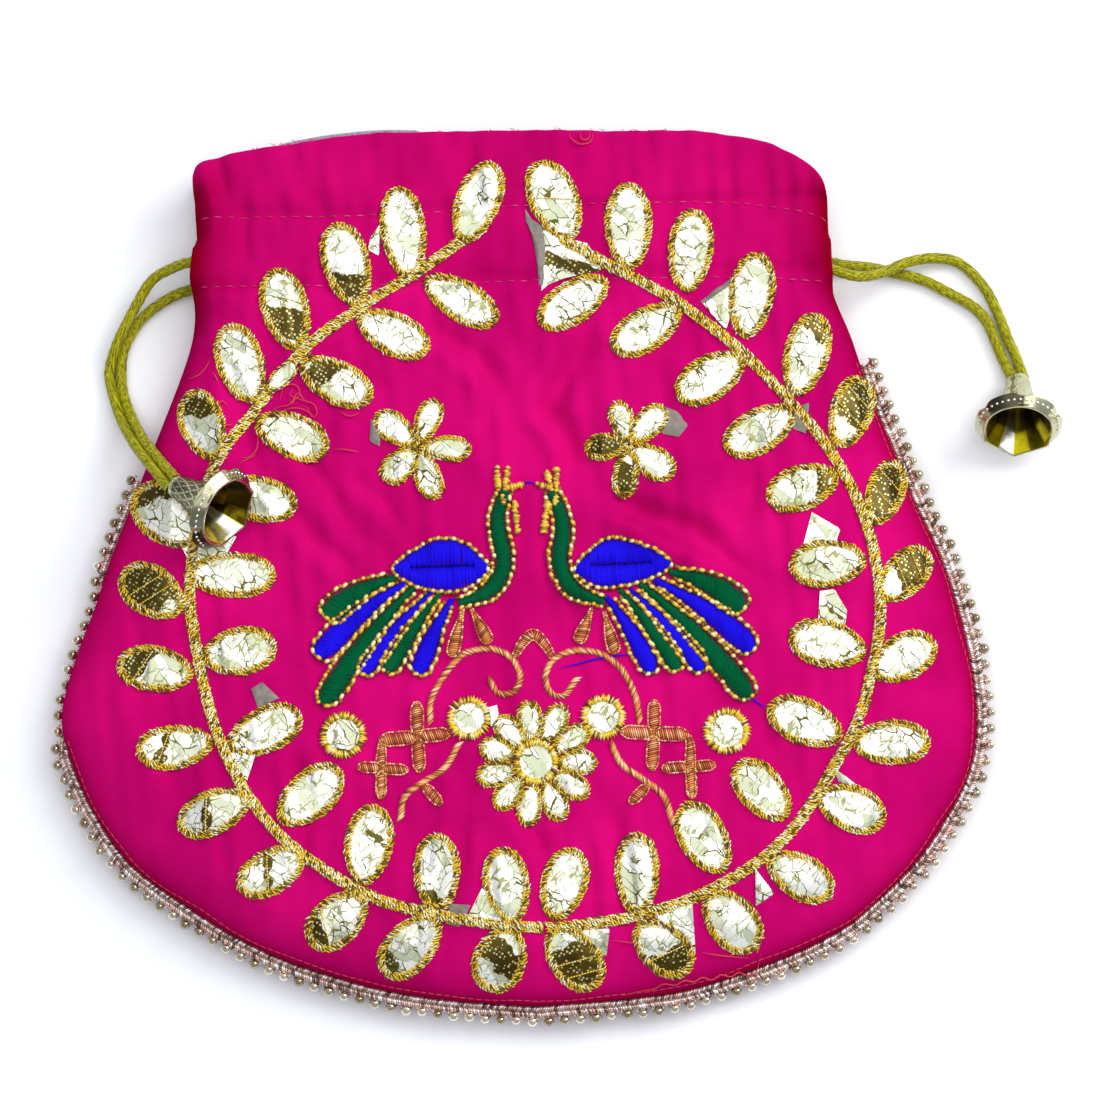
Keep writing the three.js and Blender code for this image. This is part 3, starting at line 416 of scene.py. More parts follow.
def frontShape(x, y):
    x, y = np.ravel(x).astype(float), np.ravel(y).astype(float)
    share = rollShare(x, y, cloth["frontRoll"])
    low = cloth["seam"] + 0.15 + cloth["slitOpen"][0] * slit(x, y)
    top = cloth["casingTop"] + cloth["bodyRise"] * np.clip((60 - y) / 40, 0, 1)
    z = low + (top - low) * share
    pucker = 0
    for row in cloth["rows"]:
        off = y - row - 0.5 * ripple(x, x * 0, 60, 9)
        z = z - cloth["rowDip"] * np.exp(-(off / 1.7) ** 2) * share
        pucker = pucker + np.exp(-(off / 6) ** 2)
    z = z + cloth["pucker"] * pucker * ripple(x, y * 0.2, 5.5, 5) * share
    drop, sway = cloth["mouthDrop"]
    z = z - (drop + sway * ripple(x, y * 0, 45, 6)) * ease((y - 88) / 18) * share
    return z + creased(x, y) * share ** 2


cell = 0.5  # the heights are worked out once, on a grid this fine
gridX, gridY = np.arange(-116, 112.1, cell), np.arange(-107, 110.1, cell)
gridZ = frontShape(*np.meshgrid(gridX, gridY)).reshape(len(gridY), len(gridX))


def softened(grid, reach):  # the same heights without their small dips
    bell = np.hanning(2 * reach + 1) / np.hanning(2 * reach + 1).sum()
    for axis in (0, 1):
        grid = np.apply_along_axis(lambda v: np.convolve(np.pad(v, reach, "edge"), bell, "valid"), axis, grid)
    return grid


padGrid = softened(gridZ, 10)


def heightAt(grid, x, y):  # height read between the points of one fine grid
    i = np.clip((np.asarray(x) - gridX[0]) / cell, 0, len(gridX) - 1.001)
    j = np.clip((np.asarray(y) - gridY[0]) / cell, 0, len(gridY) - 1.001)
    a, b = i.astype(int), j.astype(int)
    u, v = i - a, j - b
    low = grid[b, a] * (1 - u) + grid[b, a + 1] * u
    high = grid[b + 1, a] * (1 - u) + grid[b + 1, a + 1] * u
    return low * (1 - v) + high * v


def frontZ(x, y):
    return heightAt(gridZ, x, y)


def coverZ(x, y):  # embroidery and film bridge the small dips of the cloth
    return np.maximum(frontZ(x, y), heightAt(padGrid, x, y))


print("cloth height worked out")


def gridFaces(rows, cols):
    a = (np.arange(rows - 1)[:, None] * cols + np.arange(cols - 1)).ravel()
    return np.stack([a, a + cols, a + cols + 1, a + 1], 1)


def tubeFaces(rings, around):  # quads between closed rings of points
    a = (np.arange(rings - 1)[:, None] * around + np.arange(around)).ravel()
    b = (np.arange(rings - 1)[:, None] * around + (np.arange(around) + 1) % around).ravel()
    return np.stack([a, b, b + around, a + around], 1)


def panelPlan(cols, rows, grow):  # plan of a panel's points, mouth row first, closer together toward the seam
    t = np.linspace(-1, 1, cols)
    u = (0.4 * t + 0.6 * np.sin(t * math.pi / 2) + 1) / 2
    head = np.linspace(0, 1, rows // 8)[:-1, None]
    headY = cloth["headY"]
    left, right = sideX(leftLine, headY), sideX(rightLine, headY)
    xHead = (left + (right - left) * u)[None, :] + 0 * head
    yHead = (mouthY(xHead) + grow) * (1 - head) + headY * head
    s = np.linspace(0, 1, rows - len(head))
    yBody = headY + (cloth["bottom"] - headY) * (0.45 * s + 0.55 * np.sin(s * math.pi / 2))
    left, right = sideX(leftLine, yBody)[:, None], sideX(rightLine, yBody)[:, None]
    xBody = left + (right - left) * u
    return np.vstack([xHead, xBody]), np.vstack([yHead, yBody[:, None] + 0 * xBody])


# the cloth turns in over the mouth and comes down inside as the casing's facing
def hemRows(x, y, z, inner, fold):
    turn = np.radians([150, 110, 70, 30])[:, None]
    overY = y[0] + fold * np.sin(turn)
    overZ = (z[0] + inner(x[0], y[0])) / 2 + (z[0] - inner(x[0], y[0])) / 2 * np.cos(turn)
    s = np.linspace(0, 1, 18)[:, None]
    y0 = np.maximum(y[0], cloth["headY"] + 0.5)
    downY = cloth["facingY"] + (y0 - cloth["facingY"]) * s
    downX = x[0] * 0.992 + 0 * s
    downZ = inner(downX, downY).reshape(downX.shape)
    return np.vstack([downX, x[0] + 0 * turn, x]), np.vstack([downY, overY, y]), np.vstack([downZ, overZ, z])


def layers(y):
    between = np.minimum(cloth["rows"][0] - y, y - cloth["rows"][1])
    return cloth["hem"] + (cloth["casing"] - cloth["hem"]) * np.clip(between / 2.4, 0, 1)


def tucked(x, y):  # share by which the braid is rolled under: on the left side only the beads show
    return np.where(x < 0, ease((y + 42) / 8) * (1 - 0.55 * ease((y + 6) / 10)), 0)


# share of painted crimson shade on the satin: most at the seam and the casing's sides, where the cloth turns
# away from the light, and a little over the whole casing
def crimson_edge_shade(x, y):
    x, y = np.ravel(x), np.ravel(y)
    reach = 2.5 + 1.3 * ease((y + 45) / 30) + 2.2 * ease((y - 58) / 10)
    side = np.where(y < 58, 0.85 - 0.35 * tucked(x, y), 1)
    return np.clip(side * np.exp(-(edgeDistance(x, y) / reach) ** 1.3) + 0.14 * ease((y - 66) / 5), 0, 1)


def backShape(x, y):
    x, y = np.ravel(x).astype(float), np.ravel(y).astype(float)
    share = rollShare(x, y, cloth["backRoll"])
    high = cloth["seam"] - 0.15 - cloth["slitOpen"][1] * slit(x, y)
    dent = 0.35 * (1 + ripple(x, y, 30, 12)) * ease((y + 100) / 20)
    return np.maximum(high * (1 - share) + (dent + 0.12 * (1 + ripple(x, y, 11, 13))) * share ** 2, 0.05)


# inward is -1 where the facing lies below the cloth
def makePanel(name, shape, belly, inward, density, grow=0.0):
    x, y = panelPlan(*density, grow)
    z = shape(x, y).reshape(x.shape)

    def inner(px, py):
        py = np.minimum(py, mouthY(px))
        share = rollShare(px, py, belly).reshape(np.shape(px))
        return shape(px, py).reshape(np.shape(px)) + inward * layers(py) * np.clip(share, 0.35, 1)

    x, y, z = hemRows(x, y, z, inner, cloth["hemFold"])
    faces = gridFaces(*x.shape)[:, ::-inward]
    # turn: the share of painted crimson shade at the seam and casing
    piece = addMesh(name + "_cloth", np.stack([x, y, z], 2), faces, satin,
        marks={"turn": crimson_edge_shade(x, y)})
    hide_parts(name + "_panel")
    return piece


front = makePanel("front", frontShape, cloth["frontRoll"], -1, cloth["frontDensity"])
back = makePanel("back", backShape, cloth["backRoll"], 1, cloth["backDensity"], -0.6)
print("front and back cloth sewn")


def insetPlan(top, inset, cols, rows):
    t = np.linspace(-1, 1, cols)
    u = (0.5 * t + 0.5 * np.sin(t * math.pi / 2) + 1) / 2
    s = np.linspace(0, 1, rows)
    y = top + (cloth["bottom"] + inset - top) * (0.5 * s + 0.5 * np.sin(s * math.pi / 2))
    left = sideX(leftLine, y - inset * 0.6)[:, None] + inset
    right = sideX(rightLine, y - inset * 0.6)[:, None] - inset
    return left + (right - left) * u, y[:, None] + 0 * u


# lining: hangs loose inside, and the back one rises past the mouth on the left
linings = {"inset": 2.4, "frontTop": 62, "backTop": 104, "peek": 3.4, "peekLift": 4.2}


def makeLinings():
    x, y = insetPlan(linings["frontTop"], linings["inset"], 61, 68)
    z = frontShape(x, y).reshape(x.shape) - 2.2 + 0.3 * ripple(x, y, 18, 31)
    z = np.maximum(z, cloth["seam"] + 0.3)
    upper = addMesh("front_lining_cloth", np.stack([x, y, z], 2), gridFaces(*x.shape), taffeta)
    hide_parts("front_lining")
    x, y = insetPlan(linings["backTop"], linings["inset"], 85, 92)
    peek = ease((x + 62) / 6) * ease((-16 - x) / 8)
    rise = np.clip((y - cloth["headY"]) / 20, 0, 1)
    y = y + rise * (mouthY(x) - 105.2 + linings["peek"] * peek)
    z = backShape(x, y).reshape(x.shape) + 1.7 + 0.4 * (1 + ripple(x, y, 20, 32))
    z = np.minimum(z, cloth["seam"] - 0.2) + 2.6 * ease((y - 60) / 6) + linings["peekLift"] * peek * rise ** 2
    lower = addMesh("back_lining_cloth", np.stack([x, y, z], 2), gridFaces(*x.shape)[:, ::-1], taffeta)
    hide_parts("back_lining")
    return upper, lower


frontLining, backLining = makeLinings()
print("lining hung")


def strandMesh(lines, wide, tall, sides):  # many short round yarns at once: lines is strands by points by 3
    n, k, _ = lines.shape
    along = np.gradient(lines, axis=1)
    along = along / np.maximum(np.linalg.norm(along, axis=2), 1e-9)[..., None]
    aside = np.stack([along[..., 1], -along[..., 0], 0 * along[..., 0]], 2)
    size = np.linalg.norm(aside, axis=2)
    aside = np.where(size[..., None] > 1e-4, aside / np.maximum(size, 1e-9)[..., None], np.array([1.0, 0, 0]))
    over = np.cross(aside, along)
    angle = math.pi / 2 + np.arange(sides) / sides * 2 * math.pi
    wide = np.broadcast_to(wide, (n, k))[..., None, None]
    tall = np.broadcast_to(tall, (n, k))[..., None, None]
    across = wide * np.cos(angle)[:, None] * aside[:, :, None]
    up = tall * np.sin(angle)[:, None] * over[:, :, None]
    ring = lines[:, :, None] + across + up
    one = tubeFaces(k, sides)[:, [0, 3, 2, 1]]
    faces = (np.arange(n)[:, None, None] * (k * sides) + one).reshape(-1, 4)
    return ring.reshape(-1, 3), faces, k * sides


def spindle(count):  # a stitch is thin where it dips into the cloth
    return np.interp(np.linspace(0, 1, count), np.linspace(0, 1, 5), [0.12, 0.86, 1.0, 0.86, 0.12])


# straight stitches seen in plan, arched over the cloth
def overCloth(starts, ends, base, arch, count=5, height=coverZ):
    t = np.linspace(0, 1, count)[None, :]
    x = starts[:, 0:1] * (1 - t) + ends[:, 0:1] * t
    y = starts[:, 1:2] * (1 - t) + ends[:, 1:2] * t
    z = height(x, y) + base + np.reshape(arch, (-1, 1)) * np.sin(math.pi * t) ** 0.6
    return np.stack([x, y, z], 2)


# cords: 2.4 mm satin cord, each once round the casing, both ends in one bell; length in metres
cords = {
    "diameter": 2.4, "runZ": (12.4, 2.5), "turnX": 66, "exitX": 76, "sides": 18, "pitch": 0.8, "rest": 1.45,
    "lay": 13,  # one turn of the twist, in mm
    "left": {
        "length": 0.454, "side": -1, "frontY": 77, "backY": 72.6, "mouth": (76.6, 72),
        "ends": [(-84.4, 19.92, 19.05), (-82.88, 22.33, 19.05)],
        "frontTail": [(-79.8, 76.3, 11.8), (-84.6, 75.4, 8.6), (-89.2, 73.2, 6), (-93.6, 66.7, 4.5),
            (-97.6, 59.2, 4), (-100, 53, 1.7), (-99.7, 48.2, 1.4), (-97.5, 40.5, 3.4), (-94, 33.4, 7.9),
            (-89.7, 27.1, 13.6)],
        "backTail": [(-81, 71.3, 2.4), (-86.2, 69.3, 1.6), (-91.4, 65.6, 1.35), (-95, 60.8, 1.35),
            (-96.9, 56.2, 1.35), (-97.3, 51.6, 1.35), (-97, 47, 1.4), (-95.2, 41.5, 3.4), (-91.9, 34.6, 7.9),
            (-87.7, 28.5, 13.6)],
    },
    "right": {
        "length": 0.426, "side": 1, "frontY": 72.6, "backY": 76.2, "mouth": (69.2, 73),
        "ends": [(121.71, 42.84, 1.98), (118.88, 43.16, 1.98)],
        "frontTail": [(80, 67.9, 11.2), (83.6, 67.8, 9.2), (88.6, 69.2, 6.7), (95, 72, 4.6),
            (101.6, 73.1, 2.6), (107.6, 71.8, 1.4), (113.2, 65.8, 1.35), (116.6, 58.2, 1.35),
            (118.4, 52.6, 1.35), (120, 48.6, 1.5)],
        "backTail": [(80.4, 72, 2.4), (86, 71.4, 1.8), (91.7, 70, 1.35), (98.4, 68, 1.35),
            (104.9, 64.4, 1.35), (110.4, 60.9, 1.35), (113.6, 57, 1.35), (115.5, 51.8, 1.35),
            (117, 47.6, 1.5)],
    },
}


def cordRoute(cord):
    side, (high, low) = cord["side"], cords["runZ"]
    far, near, out = -side * cords["turnX"], side * cords["turnX"], side * cords["exitX"]
    bend, rise = (cord["frontY"] - cord["backY"]) / 2, (high - low) / 2
    reach = math.hypot(bend, rise)
    turn = []
    for angle in (30, 60, 90, 120, 150):
        c, s = math.cos(math.radians(angle)), math.sin(math.radians(angle))
        turn.append((far - side * reach * s, (cord["frontY"] + cord["backY"]) / 2 + bend * c,
            (high + low) / 2 + rise * c))
    front = [(x, cord["frontY"], high) for x in np.linspace(near, far, 23)]
    back = [(x, cord["backY"], low) for x in np.linspace(far, near, 23)]
    return ([cord["ends"][0]] + cord["frontTail"][::-1] + [(out, cord["mouth"][0], high - 0.6)] + front
        + turn + back + [(out, cord["mouth"][1], low)] + cord["backTail"] + [cord["ends"][1]])


def makeCord(name, cord):
    line = smoothLine(cordRoute(cord), cords["pitch"])
    line[:, 2] = np.maximum(line[:, 2], cords["rest"])
    along = np.gradient(line, axis=0)
    along = along / np.linalg.norm(along, axis=1)[:, None]
    normal = np.cross(along[0], (0, 0, 1.0))
    frameA = []
    for t in along:  # rings that don't twist along the cord
        normal = normal - t * normal.dot(t)
        normal = normal / np.linalg.norm(normal)
        frameA.append(normal)
    frameA = np.array(frameA)
    frameB = np.cross(along, frameA)
    run = np.arange(len(line)) * cords["pitch"]
    angle = np.arange(cords["sides"]) / cords["sides"] * 2 * math.pi
    twist = run[:, None] * (2 * math.pi / cords["lay"])
    uneven = 0.02 * ripple(run, run * 0, 9, 41)[:, None]
    r = cords["diameter"] / 2 * (1.05 + 0.06 * np.cos(5 * (angle[None, :] - twist)) + uneven)
    across = np.cos(angle)[None, :, None] * frameA[:, None]
    up = np.sin(angle)[None, :, None] * frameB[:, None]
    ring = line[:, None] + r[..., None] * (across + up)
    lay = np.stack([np.cos(angle)[None, :] * 2 + run[:, None] * 0.28,
        np.sin(angle)[None, :] * 2 + run[:, None] * 0.28, 0 * r], 2) * 2.4
    piece = addMesh(name + "_cord", ring, tubeFaces(*r.shape), viscose,
        marks={"lay": lay.reshape(-1, 3)})
    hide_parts(name + "_drawstring")
    return piece, line


# flower bells: pressed thin brass, a six-sided cup with its lip turned out as petals; radius and distance
# from the crown
bells = {
    "neck": [(2.5, 0), (2.75, 2), (3.2, 4.5), (4.1, 8), (5.2, 11.2), (6.6, 13.6)],
    "lipBack": [(8.3, 14.2), (9.7, 13.6), (9.9, 13.5)],
    "lipFront": [(10, 13.7), (9.9, 13.85), (9.1, 14.9), (8.3, 15.7), (8.15, 15.85)], "rim": (7.9, 16),
    "hexagon": 0.6, "wall": 0.4, "around": 96, "netTop": 9.5, "scale": 1.07,
    # painted light: brightness of the six facets' halves from the far lip round, then the painted shade on
    # the lip's petals and in the embossed net's cells
    "left": {"crown": (-82.962, 20.699, 19.463), "heading": (0.846, -0.533), "tilt": 27,
        "facets": (0.0, -0.1, -0.2, 0.1, -0.1, 0.15, -0.2, -0.1, 0.3, 0.5, 0.7, 1),
        "petals": (0.5, 0.6, 0.15, 0.5, 0.95, 0.9), "net": 0.85},
    "right": {"crown": (120.209, 42.232, 2.445), "heading": (-0.11, -0.994), "tilt": 34,
        "facets": (0.35, 0.1, 0.3, 0.05, -0.15, 0.0, 0.2, -0.1, 0.05, -0.05, 0.2, 1),
        "petals": (0, 0.1, 0, 0.9, 0.15, 0), "net": 0.2},
}


def bellFrame(bell):
    flat = math.cos(math.radians(bell["tilt"]))
    axis = Vector((bell["heading"][0] * flat, bell["heading"][1] * flat,
        math.sin(math.radians(bell["tilt"])))).normalized()
    turn = np.array(Vector((0, 1, 0)).rotation_difference(axis).to_matrix())
    lip = turn.T @ np.array((bell["heading"][0], bell["heading"][1], 0.0))
    return turn, math.atan2(lip[0], lip[2])


def sixSided(step):  # corners where two facets meet, rounder toward the crown's side of the cup
    share = bells["hexagon"] * (0.65 + 0.35 * np.cos(step))
    return 0.95 + share * (math.cos(math.pi / 6) / np.cos(step % (math.pi / 3) - math.pi / 6) - 0.95)


def makeBell(name, bell):
    turn, start = bellFrame(bell)
    step = np.arange(bells["around"]) / bells["around"] * 2 * math.pi
    angle = start + step
    hexagon = sixSided(step)
    side, halfSide = (step / (math.pi / 3)).astype(int), (step / (math.pi / 6)).astype(int)
    notch = np.exp(-((step + math.pi / 6) % (math.pi / 3) - math.pi / 6) ** 2 / 0.02)  # where two petals meet

    def ring(r, s, angles, shape):
        flare = min(max((s - 5) / 8, 0), 1)
        r = r * (1 + flare * (shape - 0.95))
        return np.stack([r * np.sin(angles), s + flare ** 2 * 7 * (shape - 0.95), r * np.cos(angles)], 1)

    neckR, neckS = np.array(bells["neck"] + [bells["rim"]], float).T
    rings, inside, painted_shade = [], [], []
    for s in np.linspace(0, 13.6, 40):
        net = np.minimum(np.abs(np.sin(6 * step + 0.9 * s)), np.abs(np.sin(6 * step - 0.9 * s)))
        wire = (net < 0.22) * (s < bells["netTop"])
        rings.append(ring(np.interp(s, neckS, neckR) + 0.12 * wire, s, angle, hexagon))
        inside.append(0)
        # painted shade in the net's cells
        painted_shade.append(bell["net"] * (1 - wire) * (s < bells["netTop"]) * (s > 0.8))
    for r, s in bells["lipBack"] + bells["lipFront"] + [bells["rim"]]:
        rings.append(ring(r * (1 - 0.09 * notch * (r > 8.2)), s, angle, hexagon))
        inside.append(0)
        painted_shade.append(np.array(bell["petals"])[side] * (r > 8))
    for s in np.linspace(15.8, 4.2, 24):
        rings.append(ring(np.interp(s, neckS, neckR) - bells["wall"], s, angle, hexagon))
        inside.append(1)
        painted_shade.append(0 * step)
    rings = [rings[0] * np.array([0.02, 1, 0.02])] + rings + [rings[-1] * np.array([0.02, 1, 0.02])]
    inside, painted_shade = inside[:1] + inside + inside[-1:], painted_shade[:1] + painted_shade + painted_shade[-1:]
    rings = np.array(rings)
    n, k = rings.shape[:2]
    marks = {"inside": np.repeat(inside, k), "painted_shade": np.ravel(painted_shade),
        "painted_facet_light": np.tile(np.array(bell["facets"])[halfSide], n)}
    verts = bells["scale"] * rings.reshape(-1, 3) @ turn.T + np.array(bell["crown"])
    piece = addMesh(name + "_flower_bell", verts, tubeFaces(n, k), brass, marks=marks)
    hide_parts(name + "_bell")
    step = (np.arange(42) + 0.5) / 42 * 2 * math.pi  # row of raised dots on the petals that face up
    step = step[np.cos(step) < 0.1]
    shape = sixSided(step)
    dot = ring(9.2, 14.9, start + step, shape)
    way = np.stack([np.cos(start + step), 0 * step, -np.sin(start + step)], 1)
    shift = np.array([-0.34, -0.14, 0.14, 0.34])[None, :, None] * way[:, None]
    lines = bells["scale"] * (dot[:, None] + shift) @ turn.T + np.array(bell["crown"])
    fat = np.array([[0.1, 0.32, 0.32, 0.1]])
    verts, faces, _ = strandMesh(lines, fat, fat, 6)
    # the dots take the brightest painted facet light, so they show white as painted highlights
    dots = addMesh(name + "_bell_dots", verts, faces, brass,
        marks={"inside": np.ones(len(verts)), "painted_facet_light": np.ones(len(verts)), "painted_shade": np.zeros(len(verts))})
    return piece, dots


for name in ("left", "right"):
    bell, dots = makeBell(name, bells[name])
    cord, line = makeCord(name, cords[name])
    length = np.linalg.norm(np.diff(line, axis=0), axis=1).sum()
    print(name, "cord", round(length, 1), "mm")
print("cords and bells made")

# leaves of the two vines: root, tip and full width, then the stretch painted as dark reflection and where
# gilt lines cross
vines = {
    "bud": (-60.2, 44, -54.3, 49.6, 3.6),  # the left stem parts round a small leaf
    "left": {
        "stem": [(-13.2, 78.7), (-23.5, 71.7), (-35.8, 64.8), (-48, 56.6), (-56.6, 48.4), (-64, 38.9),
            (-71.4, 29.5), (-76.4, 20.1), (-79, 8), (-80.5, -4), (-79.5, -16.1), (-77.4, -28.1),
            (-74.1, -40.1), (-68.5, -52.1), (-60.5, -63), (-50.1, -71.6), (-37.4, -79), (-23.4, -83),
            (-9.4, -85.8), (0.8, -86.9)],
        "leaves": [
            (-13.2, 78, -5.1, 98.2, 11), (-26, 69.4, -28.5, 92.6, 11),
            (-38.7, 63.7, -43.7, 84.2, 11.5, (0.05, 0.36)), (-53.6, 53.2, -58.6, 73.4, 11.5, (0.12, 0.5)),
            (-64.2, 40.8, -70.2, 60.2, 11.5), (-73.4, 27.2, -80, 44.8, 11, (0.62, 0.98)),
            (-79.5, 7.3, -93.2, 22.2, 13.2, (0.72, 0.95)),
            (-82.2, -9.2, -97.1, 1.6, 12, (0.2, 0.9), 0.42, 0.62),
            (-80.1, -24.4, -98.4, -20.5, 11, (0.62, 0.9), 0.66),
            (-75.7, -40.5, -94, -42.1, 10.6, (0.6, 0.7), 0.65),
            (-67.3, -53.8, -84.7, -60.4, 10.6, (0.55, 0.64), 0.6),
            (-54.7, -67.4, -70.7, -75.4, 10.6, (0.5, 0.6), 0.56),
            (-40.9, -78, -54.4, -88.8, 11.5, (0.74, 0.96), 0.7),
            (-23.9, -83.7, -37.4, -96.4, 11.5, (0.78, 0.96)), (-6.3, -86.6, -13, -101, 12.5, (0.25, 0.66)),
            (-22.4, 69.7, -5.4, 58.4, 10.1), (-38.7, 61.2, -22, 51.6, 10.6),
            (-52.9, 50.2, -35.9, 40.3, 10.6, (0.1, 0.42)), (-63.8, 36.4, -46.7, 28.5, 11),
            (-73.5, 19.9, -54.5, 15, 11), (-80.9, -0.3, -59.9, -1.2, 11), (-77.9, -20.2, -60.1, -18, 11.5),
            (-72.2, -42, -54.8, -34.3, 11), (-60.4, -59.9, -45.9, -47.7, 11.5),
            (-41.5, -75.4, -37.9, -56.5, 11.5), (-24.1, -82.3, -23.5, -63.8, 11, (0.04, 0.2)),
            (-6.3, -85.9, -8.7, -67.6, 11),
        ],
    },
    "right": {
        "stem": [(10.3, 78.4), (19.8, 72.7), (29.2, 67.4), (40.9, 59.7), (52.5, 49.5), (61.7, 39.4),
            (69.7, 29.5), (76.4, 18.5), (80.7, 7.5), (83, -4.7), (83.1, -16.8), (80.6, -28.7), (76.8, -40.5),
            (70.9, -50.9), (62.1, -63.6), (52.3, -72.7), (37.9, -80.4), (23.6, -84.6), (9.4, -86.5),
            (1.4, -86.9)],
        "leaves": [
            (13.2, 77.8, 5.5, 97.8, 12, None, 0.52), (26.7, 70, 27.2, 91.6, 11.5),
            (40.1, 64.1, 43.1, 84.4, 11), (53.8, 52.4, 57.8, 73.3, 11),
            (65.2, 37.9, 71.7, 58.1, 11, (0.75, 0.98)),
            (75.1, 25.2, 82.3, 43, 10.6, (0.36, 0.92), 0.45, 0.72),
            (82.4, 6.3, 89.6, 22.4, 9.6, (0.12, 0.94), 0.42, 0.68),
            (83.6, -11.9, 95.8, 0.4, 10.1, (0.4, 0.96), 0.45, 0.72), (80.6, -29.9, 96.2, -21.6, 11),
            (75.1, -45.9, 93.8, -46, 10.6), (66.6, -57.9, 82.3, -64.6, 11), (54.2, -72.3, 69.2, -81.3, 10.6),
            (39.8, -80, 50.6, -93.5, 12), (22.6, -86.9, 35, -98.1, 11.5, (0.55, 0.96), 0.6),
            (2.4, -87.4, 13.2, -100.9, 12, (0.3, 0.96), 0.55, 0.76), (21.3, 68.2, 4.8, 57.3, 10.6),
            (38.6, 60.3, 21.9, 50.5, 10.6), (53.2, 47.7, 37, 38.3, 11), (65.1, 34.5, 47.9, 25.2, 10.6),
            (74.7, 18.5, 57.4, 12.8, 11, (0.12, 0.3)), (80.5, -2.2, 62, -3.5, 11.5),
            (79.4, -24.4, 61.3, -19.7, 11.5), (72.8, -44.6, 55.7, -36.4, 11), (59.1, -63.1, 47.8, -49.5, 11),
            (43.5, -75.4, 34.9, -58.7, 11.5), (22.9, -84.6, 23.6, -65.2, 10.6), (3.1, -85.1, 8.9, -68.4, 11),
        ],
    },
    "taper": 0.82, "widen": 1.1, "outline": 1.95, "pitch": 0.72, "stemWidth": 2.8, "rise": 0.75,
    "yarn": (0.3, 0.27),  # half width and half height, as in every yarn below
}


# outline of a leaf, pointed at the root and round at the tip
def leafLine(x0, y0, x1, y1, width, taper, count=64):
    a = np.arange(count) / count * 2 * math.pi
    t = (1 + np.cos(a)) / 2
    off = np.sin(a) * width * (taper + (1 - taper) * t) / 2
    length = math.hypot(x1 - x0, y1 - y0)
    ux, uy = (x1 - x0) / length, (y1 - y0) / length
    return np.stack([x0 + ux * length * t - uy * off, y0 + uy * length * t + ux * off], 1)


def ringLine(x, y, r, count=48):
    a = np.arange(count) / count * 2 * math.pi
    return np.stack([x + r * np.cos(a), y + r * np.sin(a)], 1)


def shrink(line, by):
    _, right = normals(line, True)
    return line - right * by


def crumple(x, y):  # film pulled into small flat facets
    total = 0
    r = np.random.RandomState(77)
    for size, high in ((5.5, 0.11), (4.1, 0.08), (3.2, 0.07), (2.4, 0.05), (7.5, 0.12)):
        a = r.uniform(0, math.pi)
        total = total + high * np.abs(((x * math.cos(a) + y * math.sin(a)) / size + r.rand()) % 2 - 1)
    return total


# crinkled film inside an outline: points, faces and the share painted as dark reflection
def filmPatch(line, rings=11, dark=None, axis=None):
    middle = line.mean(0)
    r = np.concatenate([[0.02], np.linspace(0.1, 1, rings)])[:, None, None]
    p = middle + (line - middle) * r
    x, y = p[..., 0], p[..., 1]
    z = coverZ(x, y) + 0.25 + 0.35 * (1 - r[..., 0] ** 2) + crumple(x, y)
    shade = np.zeros(x.shape)
    if dark:
        x0, y0, x1, y1 = axis
        size = (x1 - x0) ** 2 + (y1 - y0) ** 2
        t = ((x - x0) * (x1 - x0) + (y - y0) * (y1 - y0)) / size
        lean = 0.13 * ((x - x0) * (y1 - y0) - (y - y0) * (x1 - x0))
        t = t + lean / size ** 0.5 / 5.5 + 0.03 * ripple(x, y, 4, 55)
        shade = ease((t - dark[0] + 0.03) / 0.06) * ease((dark[1] + 0.03 - t) / 0.06)
    return np.stack([x, y, z], 2).reshape(-1, 3), tubeFaces(*x.shape), shade.ravel()


# rows of short slanted stitches like a twisted cord, some near-white as painted glints and some dark brown as
# painted shade between them, with a few loose loops kept dark as painted shadow along the outline
def outlineStitches(line, width, pitch, rise, closed=True, rows=4, fringe=2.0, painted_glint_share=0.22):
    whole = np.vstack([line, line[:1]]) if closed else line
    runs, tones = [], []
    for row in np.linspace(-0.38, 0.38, rows):
        p = evenly(whole, pitch)[:-1]
        along, right = normals(p, closed)
        n = len(p)
        angle = (0.7 if abs(row) < 0.3 else 0.35) + 0.25 * dice.randn(n)
        way = along * np.cos(angle)[:, None] + right * np.sin(angle)[:, None]
        aside = right * (width * row + 0.09 * dice.randn(n))[:, None]
        mid = p + aside + along * (pitch * (row + 0.5 * dice.rand(n)))[:, None]
        half = ((0.52 if abs(row) < 0.3 else 0.44) + 0.2 * dice.rand(n))[:, None]
        high = 0.12 + 0.45 * (1 - (row / 0.38) ** 2)
        runs.append(overCloth(mid - way * half, mid + way * half, high, rise * (0.3 + 0.5 * dice.rand(n)), 3))
        # glints: stitches given near-white tones as painted highlights; the dark ones are painted shade
        # between stitches
        glint = dice.rand(n) < painted_glint_share + 0.2 * np.sin(np.arange(n) * pitch * 0.5 + 9 * dice.rand())
        tone = np.where(dice.rand(n) < 0.3, 0.14 * dice.rand(n), 0.3 + 0.34 * dice.rand(n))
        tones.append(np.where(glint, 0.84 + 0.16 * dice.rand(n), tone))
    if fringe:
        p = evenly(whole, fringe)[:-1]
        along, right = normals(p, closed)
        for side in (-1, 1):
            start = p + side * right * width * 0.36 + along * 0.5 * dice.randn(len(p), 1)
            reach = width * 0.1 + 0.35 * dice.rand(len(p), 1)
            end = start + side * right * reach + along * 0.6 * dice.randn(len(p), 1)
            runs.append(overCloth(start, end, 0.1, 0.25, 3))
            # dark fringe tones: painted shadow round the outline
            tones.append(0.3 * dice.rand(len(p)))
    return np.concatenate(runs), np.concatenate(tones)


